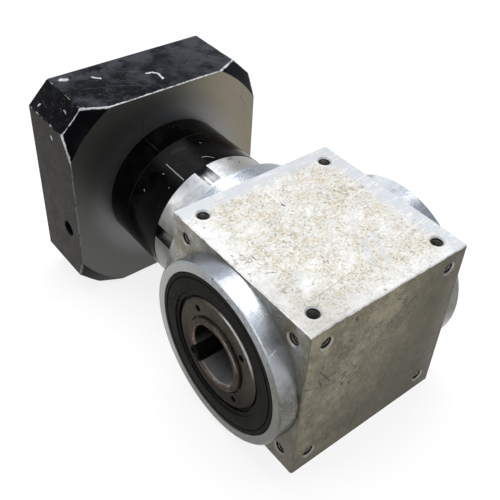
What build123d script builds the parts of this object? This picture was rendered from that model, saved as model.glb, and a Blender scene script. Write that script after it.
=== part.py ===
from build123d import *
from math import asin, atan2, cos, degrees, hypot, pi, radians, sin, tan
import os

# Right-angle bevel gearbox with a hollow output shaft and a servo motor adapter.
# Millimetres, +Z up. The origin is where the two shaft axes cross, in the middle of
# the cube. The hollow output shaft lies along X, the input comes in from -Y.

os.makedirs("parts", exist_ok=True)

# Cube housing
cube_side = 110.0
cube_edge_bevel = 0.6
boss_dia = 107.0
boss_length = 12.0
boss_bevel = 1.0
corner_hole_inset = 11.4
corner_hole_dia = 6.8
corner_hole_mouth_dia = 8.8
corner_hole_mouth_depth = 1.0
corner_hole_depth = 7.8
cavity_dia = 84.0

# Output shaft and its seals
bore_dia = 35.0
bore_bevel = 0.8
bore_bevel_length = 1.3
seal_journal_dia = 65.0
shaft_mid_dia = 46.0
shaft_far_dia = 44.0
shoulder_dia = 72.0
sleeve_shoulder_length = 5.6
shaft_face_inset = 0.8
shaft_edge_bevel = 1.0
rim_height = 2.1
rim_dia = 43.6
rim_rounding = 1.4
rim_groove_depth = 0.9
rim_groove_width = 1.0
same_place = 0.01
keyway_width = 10.0
keyway_depth = 3.3
keyway_angle = 218.0
keyway_overrun = 1.0
end_hole_dia = 4.2
end_hole_circle = 53.0
end_hole_depth = 12.0
end_hole_count = 4
output_seal_dia = 95.0
output_seal_length = 9.8
output_seal_inset = 0.2
seal_mouth_bevel = 0.4
lip_clearance = 0.05
seal_neck_share = 0.12
seal_lip_wall = 1.3
seal_case_wall = 2.2
seal_web_share = 0.42
seal_step_share = 0.29
seal_step_depth = 0.9
seal_edge_bevel = 0.5
seal_moulding_inset = 2.9
seal_dust_lip_share = 0.3
seal_main_lip_share = 0.75
seal_taper_share = 0.16

# Output bearings, taper roller, 65 x 90 x 17
output_bearing_dia = 90.0
output_bearing_width = 17.0
output_cup_width = 14.0
output_roller_angle = 12.0
output_roller_radius = 2.9
output_roller_length = 10.6
output_roller_count = 20
shim_thickness = 1.0
shim_wall = 3.5
bore_ring_thickness = 2.9
bore_ring_groove_depth = 1.7
bore_ring_wall = 3.4
bore_ring_gap = 24.0
bore_ring_eye_dia = 2.5
bore_ring_eye_wall = 1.95
bore_ring_eye_sink = 0.65
ring_side_gap = 0.2
ring_groove_slack = 0.2

# Bevel gears, straight teeth
gear_module = 2.5
wheel_teeth = 30
pinion_teeth = 15
pressure_angle = 20.0
face_width = 13.0
root_clearance = 0.2
tooth_backlash = 0.16
root_fillet_share = 0.35
root_width_share = 0.8
tip_overrun = 0.4
flank_points = 5
cutter_run_in = 2.5
cutter_run_out = 3.0
rim_under_teeth = 0.6
wheel_back = 28.0
wheel_rim_land = 5.0
wheel_hub_wall = 1.6
wheel_front_dish = 0.2
dowel_dia = 6.0
dowel_length = 12.0
dowel_circle = 58.0
dowel_count = 4
dowel_end_gap = 0.3

# Pinion shaft and its bearings, taper roller, 30 x 55 x 17 and 25 x 47 x 15
pinion_face_dish = 0.5
pinion_collar_dia = 36.0
pinion_collar_end = 42.0
head_journal_dia = 30.0
head_bearing_dia = 55.0
head_bearing_width = 17.0
head_cup_width = 13.0
head_roller_angle = 13.0
head_roller_radius = 2.9
head_roller_length = 10.4
head_roller_count = 15
cup_web = 6.0
cup_web_dia = 41.0
tail_journal_dia = 25.0
tail_bearing_dia = 47.0
tail_bearing_width = 15.0
tail_cup_width = 11.5
tail_roller_angle = 13.5
tail_roller_radius = 2.6
tail_roller_length = 8.8
tail_roller_count = 14
roller_clearance = 0.03
roller_end_gap = 0.08
rib_share = 0.45
low_rib_share = 0.6
cage_rise_share = 0.3
cage_wall = 1.0
cage_window_gap = 0.12
cage_end_width = 1.3
journal_step = 1.0
small_bevel = 0.8
input_seal_length = 7.0
seal_sleeve_dia = 35.0
seal_sleeve_length = 10.0
lock_washer_thickness = 1.3
lock_washer_inset = 1.5
lock_nut_dia = 38.0
lock_nut_length = 7.0
lock_nut_slot_width = 5.0
lock_nut_slot_depth = 2.0
lock_nut_slot_count = 4

# Notched bearing carrier
carrier_dia = 90.3
carrier_spigot_dia = 64.0
carrier_spigot_reach = 24.5
carrier_flange_length = 24.3
carrier_bevel = 0.6
spigot_bevel = 0.5
notch_radius = 4.3
notch_circle = 88.8
notch_length = 15.9
notch_count = 6
notch_start = 15.0
o_ring_radius = 0.9
o_ring_groove_width = 2.4
o_ring_slack = 0.1
o_ring_inset = 6.0

# Joint screws
flange_screw_circle = 77.0
carrier_screw_dia = 5.0
carrier_screw_head_dia = 8.5
carrier_screw_length = 30.0
carrier_screw_offset = 18.0
carrier_screw_sink = 0.3
tube_screw_dia = 6.0
tube_screw_head_dia = 10.0
tube_screw_length = 70.0
tube_screw_offset = 42.0
screw_hole_clearance = 0.25
head_hole_clearance = 0.5
thread_end_gap = 2.0
socket_share_depth = 0.5
socket_share_width = 0.8

# Black coupling tube, in two lengths
tube_bore_dia = 62.0
coupling_housing_length = 30.4
adapter_ring_length = 19.7
tube_bevel = 0.5
register_dia = 67.0
register_length = 2.5
register_gap = 0.1

# Square motor adapter
adapter_side = 140.0
adapter_corner = 14.0
adapter_length = 49.9
adapter_disc_dia = 161.0
adapter_slope = 0.86
adapter_web = 8.6
adapter_pocket_dia = 98.0
adapter_edge_bevel = 0.6
motor_pilot_dia = 110.0
motor_pilot_depth = 6.0
motor_hole_circle = 145.0
motor_hole_depth = 22.0
access_hole_dia = 10.0
access_hole_bevel = 0.7

# Jaw coupling
hub_dia = 55.0
hub_bevel = 1.0
pinion_hub_bore = 20.0
pinion_hub_length = 21.5
pinion_hub_gap = 2.2
journal_end_gap = 0.5
journal_bevel = 1.0
slit_end_wall = 4.0
motor_hub_bore = 24.0
motor_hub_length = 28.5
spider_space = 16.0
spider_thickness = 13.4
spider_leg_angle = 23.0
spider_ring_dia = 27.0
spider_bore_dia = 16.0
spider_side_gap = 0.7
spider_leg_root = 1.0
jaw_count = 3
jaw_turn = 180.0 / jaw_count
jaw_angle = 34.0
jaw_inner_dia = 28.0
jaw_end_gap = 1.0
clamp_slit_width = 2.0
clamp_screw_dia = 6.0
clamp_screw_head_dia = 10.0
clamp_screw_length = 16.0
clamp_screw_offset = 19.6
clamp_screw_from_end = 10.2
clamp_head_seat = 5.5

# Positions worked out from the sizes above
half = cube_side / 2
boss_face = half + boss_length
seal_face = boss_face - output_seal_inset
shaft_face = boss_face - shaft_face_inset
rim_top = shaft_face + rim_height
rim_groove_floor = shaft_face - rim_groove_depth
rim_groove_outer = rim_dia / 2 + rim_groove_width
seal_back = seal_face - output_seal_length
bore_ring_outer = seal_back - ring_side_gap
bore_ring_inner = bore_ring_outer - bore_ring_thickness
cup_back = bore_ring_inner - shim_thickness
cone_back = cup_back - output_bearing_width
sleeve_stop = cone_back - sleeve_shoulder_length

wheel_pitch_radius = gear_module * wheel_teeth / 2
pinion_pitch_radius = gear_module * pinion_teeth / 2
cone_distance = hypot(wheel_pitch_radius, pinion_pitch_radius)
wheel_cone_angle = degrees(atan2(wheel_pitch_radius, pinion_pitch_radius))
pinion_cone_angle = 90.0 - wheel_cone_angle
inner_scale = (cone_distance - face_width) / cone_distance
tooth_top = gear_module
tooth_root = gear_module * (1.0 + root_clearance)

head_cup_back = pinion_collar_end + head_bearing_width
tail_cup_back = head_cup_back + cup_web
tail_cone_back = tail_cup_back + tail_bearing_width
sleeve_end = tail_cone_back + seal_sleeve_length
nut_start = sleeve_end + lock_washer_thickness
nut_end = nut_start + lock_nut_length
carrier_face = boss_face + carrier_flange_length
carrier_screw_seat = carrier_face - carrier_screw_dia - carrier_screw_sink
tube_joint = carrier_face + coupling_housing_length
adapter_face = tube_joint + adapter_ring_length
adapter_back = adapter_face + adapter_length
pocket_floor = adapter_face + adapter_web

pinion_hub_start = nut_end + pinion_hub_gap
pinion_hub_end = pinion_hub_start + pinion_hub_length
motor_hub_start = pinion_hub_end + spider_space
motor_hub_end = motor_hub_start + motor_hub_length
clamp_screw_at = motor_hub_end - clamp_screw_from_end
journal_end = pinion_hub_end - journal_end_gap


def vec(x, y, z):
    return Vector(x, y, z)


# The two shaft directions: the output along +X, the input shaft reaching out to -Y
along_x = vec(1, 0, 0)
along_input = vec(0, -1, 0)


def turned(axis, points):
    """A body of revolution: points are (place along the axis, radius)."""
    side = vec(0, 0, 1)
    wire = Wire.make_polygon([axis * place + side * radius for place, radius in points], close=True)
    return revolve(Face(wire), Axis((0, 0, 0), axis), 360)


def rod(axis, radius, start, end, offset=(0, 0, 0)):
    """A round bar along axis from start to end, moved sideways by offset."""
    base = axis * start + Vector(*offset)
    return Solid.make_cylinder(radius, end - start, Plane(origin=base, z_dir=axis))


def pipe(axis, outer, inner, start, end):
    return turned(axis, [(start, inner), (start, outer), (end, outer), (end, inner)])


def around(axis, angle):
    """Unit vector square to axis: X axis counts from +Y to +Z, input axis from +X to +Z."""
    first = vec(0, 1, 0) if axis is along_x else vec(1, 0, 0)
    return first * cos(radians(angle)) + vec(0, 0, 1) * sin(radians(angle))


def spot(axis, radius, angle):
    return tuple(around(axis, angle) * radius)


def save(shape, name):
    export_step(shape, f"parts/{name}.step")


def group(solids):
    return Compound(children=list(solids))


# Taper roller bearings. Each is drawn from its cone's back face, at 0, towards the back
# of the cup, at its full width, and then set on its shaft.
class TaperBearing:
    def __init__(self, bore, outer, width, cup_width, angle, roller, length, count):
        self.bore = bore / 2
        self.outer = outer / 2
        self.width = width
        self.cup_width = cup_width
        self.angle = angle
        self.roller = roller
        self.length = length
        self.count = count
        mean = (self.bore + self.outer) / 2
        self.reach = mean / sin(radians(angle))
        self.apex = width / 2 + mean / tan(radians(angle))
        self.spread = degrees(asin(roller / self.reach))
        self.inner_end = self.reach - length / 2
        self.outer_end = self.reach + length / 2

    def point(self, along, height):
        """Place and radius of a point on the roller's own axis line, raised by height."""
        tilt = radians(self.angle)
        place = self.apex - along * cos(tilt) + height * sin(tilt)
        return place, along * sin(tilt) + height * cos(tilt)

    def race(self, along, side):
        return self.point(along, side * along * tan(radians(self.spread)))

    def cone(self):
        """Inner ring with a rib at each end of its raceway."""
        wide, narrow = self.outer_end + roller_end_gap, self.inner_end - roller_end_gap
        rib = self.point(wide, -rib_share * self.roller)
        low_rib = self.point(narrow, -low_rib_share * self.roller)
        return [(0, self.bore), (0, rib[1]), rib, self.race(wide, -1),
                self.race(narrow, -1), low_rib, (self.width, low_rib[1]), (self.width, self.bore)]

    def cup(self):
        """Outer ring, thick at its back."""
        slope = tan(radians(self.angle + self.spread))
        front = self.width - self.cup_width
        return [(front, self.outer), (front, (self.apex - front) * slope),
                (self.width, (self.apex - self.width) * slope), (self.width, self.outer)]

    def cage(self):
        """Thin conical shell that runs outside the roller centres."""
        low = cage_rise_share * self.roller
        high = low + cage_wall
        wide, narrow = self.outer_end + cage_end_width, self.inner_end - cage_end_width
        return [self.point(wide, low), self.point(wide, high), self.point(narrow, high),
                self.point(narrow, low)]

    def roller_points(self, gap, extra):
        """Half profile of one roller along its own axis, gap outside its running size."""
        slope = tan(radians(self.spread))
        near, far = self.inner_end - extra, self.outer_end + extra
        return [(near, 0), (near, near * slope + gap), (far, far * slope + gap), (far, 0)]


def set_bearing(axis, face, backwards):
    """Location that puts a bearing's cone back at face, its cup back towards -axis or +axis."""
    direction = axis * (-1 if backwards else 1)
    return Plane(origin=axis * face, x_dir=direction.cross(vec(0, 0, 1)), z_dir=direction).location


def ring_of(profile, place):
    wire = Wire.make_polygon([(radius, 0, along) for along, radius in profile], close=True)
    return (place * revolve(Face(wire), Axis.Z, 360)).solid()


def roller_set(bearing, gap, extra):
    """All rollers of one bearing, standing round its own Z axis."""
    profile = bearing.roller_points(gap, extra)
    wire = Wire.make_polygon([(radius, 0, along) for along, radius in profile], close=True)
    one = revolve(Face(wire), Axis.Z, 360)
    one = one.rotate(Axis.Y, 180.0 - bearing.angle).moved(Location((0, 0, bearing.apex)))
    return [one.rotate(Axis.Z, index * 360.0 / bearing.count) for index in range(bearing.count)]


def save_bearing(bearing, name, axis, face, backwards=False):
    place = set_bearing(axis, face, backwards)
    save(ring_of(bearing.cone(), place), f"{name}_inner_ring")
    save(ring_of(bearing.cup(), place), f"{name}_outer_ring")
    rollers = roller_set(bearing, -roller_clearance, 0)
    save(group((place * one).solid() for one in rollers), f"{name}_rollers")
    shell = ring_of(bearing.cage(), Location())
    windows = roller_set(bearing, cage_window_gap, cage_window_gap)
    save((place * shell.cut(*windows)).solid(), f"{name}_cage")


# Bevel gears. The tooth shape is an involute on the back cone, drawn on the plane square
# to the pitch line and shrunk towards the point where the two axes cross.
def half_space_angle(radius, virtual_radius):
    """Half the gap between two teeth at a radius of the developed gear, in radians."""
    base = virtual_radius * cos(radians(pressure_angle))
    local = degrees(atan2((max(radius * radius - base * base, 0)) ** 0.5, base))
    involute = tan(radians(local)) - radians(local)
    involute_pitch = tan(radians(pressure_angle)) - radians(pressure_angle)
    half_tooth = pi * gear_module / (4 * virtual_radius) - tooth_backlash / (4 * virtual_radius)
    return pi * gear_module / (2 * virtual_radius) - (half_tooth + involute_pitch - involute)


def space_outline(pitch_radius, cone_angle):
    """Points of one flank, from the root up past the tip: (sideways, outward)."""
    virtual = pitch_radius / cos(radians(cone_angle))
    base = virtual * cos(radians(pressure_angle))
    lowest = virtual - tooth_root
    start = max(base, lowest + root_fillet_share * gear_module)
    rise = (virtual + tooth_top + tip_overrun - start) / (flank_points - 1)
    steps = [start + rise * index for index in range(flank_points)]
    flank = [(r * sin(half_space_angle(r, virtual)), r * cos(half_space_angle(r, virtual)) - virtual)
             for r in steps]
    root_half = flank[0][0] * root_width_share
    return (root_half, lowest * cos(root_half / lowest) - virtual), flank


def tooth_space(axis, radial, pitch_radius, cone_angle):
    """Cutter for one gap between teeth, centred on the radial direction."""
    slant = radians(cone_angle)
    pitch_line = axis * cos(slant) + radial * sin(slant)
    outward = radial * cos(slant) - axis * sin(slant)
    sideways = axis.cross(radial)
    root, flank = space_outline(pitch_radius, cone_angle)

    def place(point, side, scale):
        return (pitch_line * cone_distance + sideways * (side * point[0]) + outward * point[1]) * scale

    def section(scale):
        right = [place(p, 1, scale) for p in flank]
        left = [place(p, -1, scale) for p in flank]
        low_right, low_left = place(root, 1, scale), place(root, -1, scale)
        edges = [Edge.make_line(low_left, low_right), Edge.make_line(low_right, right[0]),
                 Edge.make_spline(right), Edge.make_line(right[-1], left[-1]),
                 Edge.make_spline(left[::-1]), Edge.make_line(left[0], low_left)]
        return Wire(edges)

    inner = inner_scale - cutter_run_in / cone_distance
    outer = 1 + cutter_run_out / cone_distance
    return Solid.make_loft([section(inner), section(outer)], ruled=True)


def cut_teeth(blank, axis, first, teeth, pitch_radius, cone_angle, half_step):
    cutter = tooth_space(axis, first, pitch_radius, cone_angle)
    step = 360.0 / teeth
    turn = Axis((0, 0, 0), axis)
    cutters = [cutter.rotate(turn, (index + half_step) * step) for index in range(teeth)]
    return blank.cut(*cutters).solid()


def cone_point(pitch_radius, cone_angle, scale, rise):
    """Place and radius on a gear's back or front cone, rise outside its pitch line."""
    slant = radians(cone_angle)
    place = cone_distance * scale * cos(slant) - rise * sin(slant)
    return place, pitch_radius * scale + rise * cos(slant)


def blank_points(pitch_radius, cone_angle):
    """The three corners of a gear blank: under the teeth's inner end, and both ends of their tips."""
    under = tooth_root * inner_scale + rim_under_teeth
    low = cone_point(pitch_radius, cone_angle, inner_scale, -under)
    tip_in = cone_point(pitch_radius, cone_angle, inner_scale, tooth_top * inner_scale)
    return low, tip_in, cone_point(pitch_radius, cone_angle, 1, tooth_top)


def bevel_wheel():
    low, tip_in, tip = blank_points(wheel_pitch_radius, wheel_cone_angle)
    back = wheel_back - wheel_rim_land
    rim = tip[1] - (back - tip[0]) / tan(radians(wheel_cone_angle))
    bore = shaft_mid_dia / 2
    hub = bore + wheel_hub_wall
    front = low[0] + (low[1] - hub) * wheel_front_dish
    blank = turned(along_x, [(front, bore), (front, hub), low, tip_in, tip, (back, rim),
                             (wheel_back, rim), (wheel_back, bore)])
    blank = blank.cut(*dowel_rods(wheel_back - dowel_length / 2 - dowel_end_gap, wheel_back))
    return cut_teeth(blank, along_x, along_input, wheel_teeth, wheel_pitch_radius,
                     wheel_cone_angle, 0.5)


def dowel_rods(start, end):
    return [rod(along_x, dowel_dia / 2, start, end,
                spot(along_x, dowel_circle / 2, (index + 0.5) * 360.0 / dowel_count))
            for index in range(dowel_count)]


def wheel_dowels():
    return group(dowel_rods(wheel_back - dowel_length / 2, wheel_back + dowel_length / 2))


def keyway(start, end):
    """Cutter for the keyway in the hollow shaft's bore."""
    direction = around(along_x, keyway_angle)
    outer = bore_dia / 2 + keyway_depth
    frame = Plane(origin=along_x * start + direction * (outer / 2), x_dir=direction, z_dir=along_x)
    bar = Box(outer, keyway_width, end - start, align=(Align.CENTER, Align.CENTER, Align.MIN))
    return frame.location * bar


def end_holes(face, direction):
    """Tapped holes in one end of the shaft, one of them in line with the keyway."""
    start, end = sorted((face, face - direction * end_hole_depth))
    return [rod(along_x, end_hole_dia / 2, start, end,
                spot(along_x, end_hole_circle / 2, keyway_angle + index * 360.0 / end_hole_count))
            for index in range(end_hole_count)]


def near_end_profile():
    """Raised rim round the bore, its groove and the seal journal, as (place, radius) points."""
    bore, rim, journal = bore_dia / 2, rim_dia / 2, seal_journal_dia / 2
    return [(rim_top - bore_bevel_length, bore), (rim_top, bore + bore_bevel), (rim_top, rim),
            (rim_groove_floor, rim), (rim_groove_floor, rim_groove_outer),
            (shaft_face, rim_groove_outer), (shaft_face, journal - shaft_edge_bevel),
            (shaft_face - shaft_edge_bevel, journal), (cone_back, journal)]


def far_end_profile():
    """Thin end for the sleeve, with the same rim round the bore."""
    bore, rim, thin = bore_dia / 2, rim_dia / 2, shaft_far_dia / 2
    return [(-sleeve_stop, thin), (-rim_groove_floor, thin), (-rim_groove_floor, rim),
            (-rim_top, rim), (-rim_top, bore + bore_bevel), (-rim_top + bore_bevel_length, bore)]


def round_rims(body):
    """Rounds the outer corner of the raised rim at both ends."""
    corners = [edge for edge in body.edges().filter_by(GeomType.CIRCLE)
               if abs(edge.radius - rim_dia / 2) < same_place
               and abs(abs(edge.arc_center.X) - rim_top) < same_place]
    return body.fillet(rim_rounding, corners)


def hollow_shaft():
    """Near end solid with the seal journal, far end thin for the sleeve."""
    shoulder, middle = shoulder_dia / 2, shaft_mid_dia / 2
    between = [(cone_back, shoulder), (wheel_back, shoulder), (wheel_back, middle), (-sleeve_stop, middle)]
    body = round_rims(turned(along_x, near_end_profile() + between + far_end_profile()))
    body = body.cut(keyway(-rim_top - keyway_overrun, rim_top + keyway_overrun), *end_holes(shaft_face, 1))
    return body.cut(*dowel_rods(wheel_back, wheel_back + dowel_length / 2 + dowel_end_gap)).solid()


def far_sleeve():
    """Seal and bearing sleeve pushed on the far end of the shaft, up to the shaft's step."""
    journal, bore = seal_journal_dia / 2, shaft_far_dia / 2
    body = turned(along_x, [(-sleeve_stop, bore), (-sleeve_stop, shoulder_dia / 2),
                            (-cone_back, shoulder_dia / 2), (-cone_back, journal),
                            (-shaft_face + shaft_edge_bevel, journal),
                            (-shaft_face, journal - shaft_edge_bevel), (-shaft_face, rim_groove_outer),
                            (-rim_groove_floor, rim_groove_outer), (-rim_groove_floor, bore)])
    return body.cut(*end_holes(-shaft_face, -1)).solid()


def lip_seal(axis, direction, front, length, outer, shaft):
    """Rubber-covered lip seal: front is its outer face, direction points out of the housing."""
    wall = outer - shaft
    lip, neck, step = shaft + lip_clearance, shaft + seal_neck_share * wall, shaft + seal_step_share * wall
    moulding = outer - seal_moulding_inset
    inner_case, edge = outer - seal_case_wall, seal_edge_bevel
    dust_lip, web, main_lip = (length * share
                               for share in (seal_dust_lip_share, seal_web_share, seal_main_lip_share))
    points = [(edge, outer), (0, outer - edge), (0, moulding + edge), (edge, moulding + edge / 2),
              (edge, moulding - edge / 2), (0, moulding - edge), (0, step),
              (seal_step_depth, step - edge), (seal_step_depth, neck), (dust_lip - edge, neck),
              (dust_lip, lip), (dust_lip + edge, lip), (web, neck),
              (main_lip - length * seal_taper_share, neck), (main_lip, lip), (main_lip + edge, lip),
              (length, neck), (length, neck + seal_lip_wall), (web, neck + seal_lip_wall),
              (web, inner_case), (length, inner_case), (length, outer)]
    return turned(axis, [(front - direction * depth, radius) for depth, radius in points]).solid()


def bearing_shims():
    outer = output_bearing_dia / 2
    shim = pipe(along_x, outer, outer - shim_wall, cup_back, bore_ring_inner)
    return group([shim, mirror(shim, Plane.YZ)])


def bore_retaining_rings():
    """Spring rings with two eyes, one each side, in the grooves outside the cups."""
    outer = output_bearing_dia / 2 + bore_ring_groove_depth - ring_groove_slack
    inner = output_bearing_dia / 2 - bore_ring_wall
    ring = pipe(along_x, outer, inner, bore_ring_inner, bore_ring_outer)
    eye_circle = inner - bore_ring_eye_sink
    eye_radius = bore_ring_eye_dia / 2 + bore_ring_eye_wall
    for sign in (-1, 1):
        where = spot(along_x, eye_circle, 90 + sign * bore_ring_gap / 2)
        ring = ring.fuse(rod(along_x, eye_radius, bore_ring_inner, bore_ring_outer, where))
        ring = ring.cut(rod(along_x, bore_ring_eye_dia / 2, bore_ring_inner, bore_ring_outer, where))
    opening = 2 * (eye_circle * sin(radians(bore_ring_gap / 2)) - bore_ring_eye_dia / 2)
    gap = Box(bore_ring_thickness, opening - bore_ring_eye_wall, outer,
              align=(Align.MIN, Align.CENTER, Align.MIN))
    ring = ring.cut(Location((bore_ring_inner, 0, inner - 2 * eye_radius)) * gap).solid()
    return group([ring, mirror(ring, Plane.YZ).solid()])


def tapped_hole(frame, depth):
    """Cutters for one M8 hole that goes in along the frame's Z: the hole and its bevelled mouth."""
    hole, mouth = corner_hole_dia / 2, corner_hole_mouth_dia / 2
    return [Solid.make_cylinder(hole, depth, frame),
            Solid.make_cone(mouth, hole, corner_hole_mouth_depth, frame)]


def corner_hole_cutters():
    """Four tapped holes in each of the six faces of the cube."""
    place = half - corner_hole_inset
    cutters = []
    for axis in (vec(1, 0, 0), vec(0, 1, 0), vec(0, 0, 1)):
        sides = [vec(0, 1, 0) if axis.X else vec(1, 0, 0), vec(0, 1, 0) if axis.Z else vec(0, 0, 1)]
        for sign in (-1, 1):
            for first in (-1, 1):
                for second in (-1, 1):
                    offset = sides[0] * (first * place) + sides[1] * (second * place)
                    frame = Plane(origin=axis * (sign * half) + offset, z_dir=axis * -sign)
                    cutters.extend(tapped_hole(frame, corner_hole_depth))
    return cutters


def gear_housing():
    cube = Box(cube_side, cube_side, cube_side)
    cube = chamfer(cube.edges(), cube_edge_bevel).solid()
    boss = boss_dia / 2
    rim = [(half / 2, 0), (half / 2, boss), (boss_face - boss_bevel, boss),
           (boss_face, boss - boss_bevel), (boss_face, 0)]
    output_boss = turned(along_x, rim)
    body = cube.fuse(output_boss, mirror(output_boss, Plane.YZ), turned(along_input, rim))
    seal, seat = output_seal_dia / 2, output_bearing_dia / 2
    groove = seat + bore_ring_groove_depth
    cavity = cavity_dia / 2
    half_bore = [(0, 0), (0, cavity), (cone_back, cavity), (cone_back, seat), (bore_ring_inner, seat),
                 (bore_ring_inner, groove), (seal_back, groove), (seal_back, seal),
                 (boss_face - seal_mouth_bevel, seal), (boss_face, seal + seal_mouth_bevel),
                 (boss_face, 0)]
    output_bore = turned(along_x, half_bore)
    input_bore = rod(along_input, carrier_spigot_dia / 2, 0, boss_face)
    body = body.cut(output_bore, mirror(output_bore, Plane.YZ), input_bore, *corner_hole_cutters())
    tapped = [rod(along_input, carrier_screw_dia / 2, screw_tip(), boss_face,
                  spot(along_input, flange_screw_circle / 2, angle))
              for angle in screw_angles(carrier_screw_offset)]
    return body.cut(*tapped).solid()


def screw_angles(offset):
    return [notch_start + offset + index * 360.0 / notch_count for index in range(notch_count)]


def screw_tip():
    """Where the tapped holes for the carrier screws end inside the housing."""
    return carrier_screw_seat - carrier_screw_length - thread_end_gap


def cap_screw(axis, seat, direction, shank, length, head, offset):
    """Socket-head screw: seat is where its head rests, direction the way its shank points."""
    head_top = seat - direction * shank
    tip = seat + direction * length
    low, high = sorted((seat, tip))
    body = rod(axis, shank / 2, low, high, offset)
    low, high = sorted((seat, head_top))
    body = body.fuse(rod(axis, head / 2, low, high, offset))
    depth = shank * socket_share_depth
    low, high = sorted((head_top, head_top + direction * depth))
    socket = extrude(Plane(origin=axis * low + Vector(*offset), z_dir=axis) *
                     RegularPolygon(shank * socket_share_width / 2, 6, major_radius=False), high - low)
    return body.cut(socket).solid()


def bearing_carrier():
    """Notched flange with a spigot in the cube that holds both pinion bearings."""
    outer, spigot = carrier_dia / 2, carrier_spigot_dia / 2
    start = boss_face - carrier_spigot_reach
    groove = boss_face - o_ring_inset
    groove_floor = spigot - 2 * o_ring_radius - o_ring_slack
    register = register_dia / 2
    body = turned(along_input, [
        (start, head_bearing_dia / 2), (start, spigot - spigot_bevel),
        (start + spigot_bevel, spigot), (groove - o_ring_groove_width, spigot),
        (groove - o_ring_groove_width, groove_floor), (groove, groove_floor), (groove, spigot),
        (boss_face, spigot), (boss_face, outer - carrier_bevel),
        (boss_face + carrier_bevel, outer), (carrier_face - carrier_bevel, outer),
        (carrier_face, outer - carrier_bevel), (carrier_face, register),
        (carrier_face - register_length - register_gap, register),
        (carrier_face - register_length - register_gap, tail_bearing_dia / 2),
        (tail_cup_back, tail_bearing_dia / 2), (tail_cup_back, cup_web_dia / 2),
        (head_cup_back, cup_web_dia / 2), (head_cup_back, head_bearing_dia / 2)])
    cutters = []
    shank = carrier_screw_dia / 2 + screw_hole_clearance
    head = carrier_screw_head_dia / 2 + head_hole_clearance
    for index in range(notch_count):
        where = spot(along_input, notch_circle / 2, notch_start + index * 360.0 / notch_count)
        cutters.append(rod(along_input, notch_radius, carrier_face - notch_length, carrier_face, where))
    for angle in screw_angles(carrier_screw_offset):
        where = spot(along_input, flange_screw_circle / 2, angle)
        cutters.append(rod(along_input, shank, boss_face, carrier_face, where))
        cutters.append(rod(along_input, head, carrier_screw_seat, carrier_face, where))
    for angle in screw_angles(tube_screw_offset):
        where = spot(along_input, flange_screw_circle / 2, angle)
        cutters.append(rod(along_input, tube_screw_dia / 2, tube_thread_end(), carrier_face, where))
    return body.cut(*cutters).solid()


def tube_thread_end():
    return pocket_floor - tube_screw_length - thread_end_gap


def carrier_screws():
    return group(cap_screw(along_input, carrier_screw_seat, -1, carrier_screw_dia,
                           carrier_screw_length, carrier_screw_head_dia,
                           spot(along_input, flange_screw_circle / 2, angle))
                 for angle in screw_angles(carrier_screw_offset))


def tube_screws():
    return group(cap_screw(along_input, pocket_floor, -1, tube_screw_dia, tube_screw_length,
                           tube_screw_head_dia, spot(along_input, flange_screw_circle / 2, angle))
                 for angle in screw_angles(tube_screw_offset))


def carrier_o_ring():
    middle = boss_face - o_ring_inset - o_ring_groove_width / 2
    radius = carrier_spigot_dia / 2 - o_ring_radius - o_ring_slack / 2
    return Solid.make_torus(radius, o_ring_radius, Plane(origin=along_input * middle, z_dir=along_input))


def tube_length(start, end):
    """One black length of the tube, with a register at one end and a recess at the other."""
    outer, bore, register = carrier_dia / 2, tube_bore_dia / 2, register_dia / 2
    body = turned(along_input, [
        (start - register_length, bore), (start - register_length, register - register_gap),
        (start, register - register_gap), (start, outer - tube_bevel), (start + tube_bevel, outer),
        (end - tube_bevel, outer), (end, outer - tube_bevel), (end, register),
        (end - register_length - register_gap, register), (end - register_length - register_gap, bore)])
    return body.cut(*tube_screw_holes(start, end)).solid()


def tube_screw_holes(start, end):
    return [rod(along_input, tube_screw_dia / 2 + screw_hole_clearance, start, end,
                spot(along_input, flange_screw_circle / 2, angle))
            for angle in screw_angles(tube_screw_offset)]


def motor_adapter():
    """Square plate with a turned front face, cone-backed corners and a pocket for the motor hub."""
    side, corner = adapter_side / 2, adapter_corner
    flat = side - corner
    outline = [(side, flat), (flat, side), (-flat, side), (-side, flat),
               (-side, -flat), (-flat, -side), (flat, -side), (side, -flat)]
    plate = Plane(origin=along_input * adapter_face, x_dir=vec(1, 0, 0), z_dir=along_input)
    block = extrude(plate * make_face(Polyline(*outline, close=True)), adapter_length)
    block = chamfer(block.edges(), adapter_edge_bevel)
    disc = adapter_disc_dia / 2
    reach = hypot(side, side)
    turned_block = turned(along_input, [(adapter_face, 0), (adapter_face, disc),
                                        (adapter_face + adapter_slope * (reach - disc), reach),
                                        (adapter_back, reach), (adapter_back, 0)])
    body = block & turned_block
    bore, register = tube_bore_dia / 2, register_dia / 2
    register_end = adapter_face - register_length
    body = body.fuse(pipe(along_input, register - register_gap, bore, register_end, adapter_face))
    pocket, pilot = adapter_pocket_dia / 2, motor_pilot_dia / 2
    hollow = turned(along_input, [(register_end, 0), (register_end, bore),
                                  (pocket_floor, bore), (pocket_floor, pocket),
                                  (adapter_back - motor_pilot_depth, pocket),
                                  (adapter_back - motor_pilot_depth, pilot),
                                  (adapter_back - adapter_edge_bevel, pilot),
                                  (adapter_back, pilot + adapter_edge_bevel), (adapter_back, 0)])
    holes = tube_screw_holes(adapter_face, pocket_floor) + motor_holes()
    return body.solid().cut(hollow, *holes, access_hole()).solid()


def motor_holes():
    cutters = []
    for quarter in range(4):
        where = spot(along_input, motor_hole_circle / 2, 45 + quarter * 90)
        frame = Plane(origin=along_input * adapter_back + Vector(*where), z_dir=along_input * -1)
        cutters.extend(tapped_hole(frame, motor_hole_depth))
    return cutters


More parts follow.
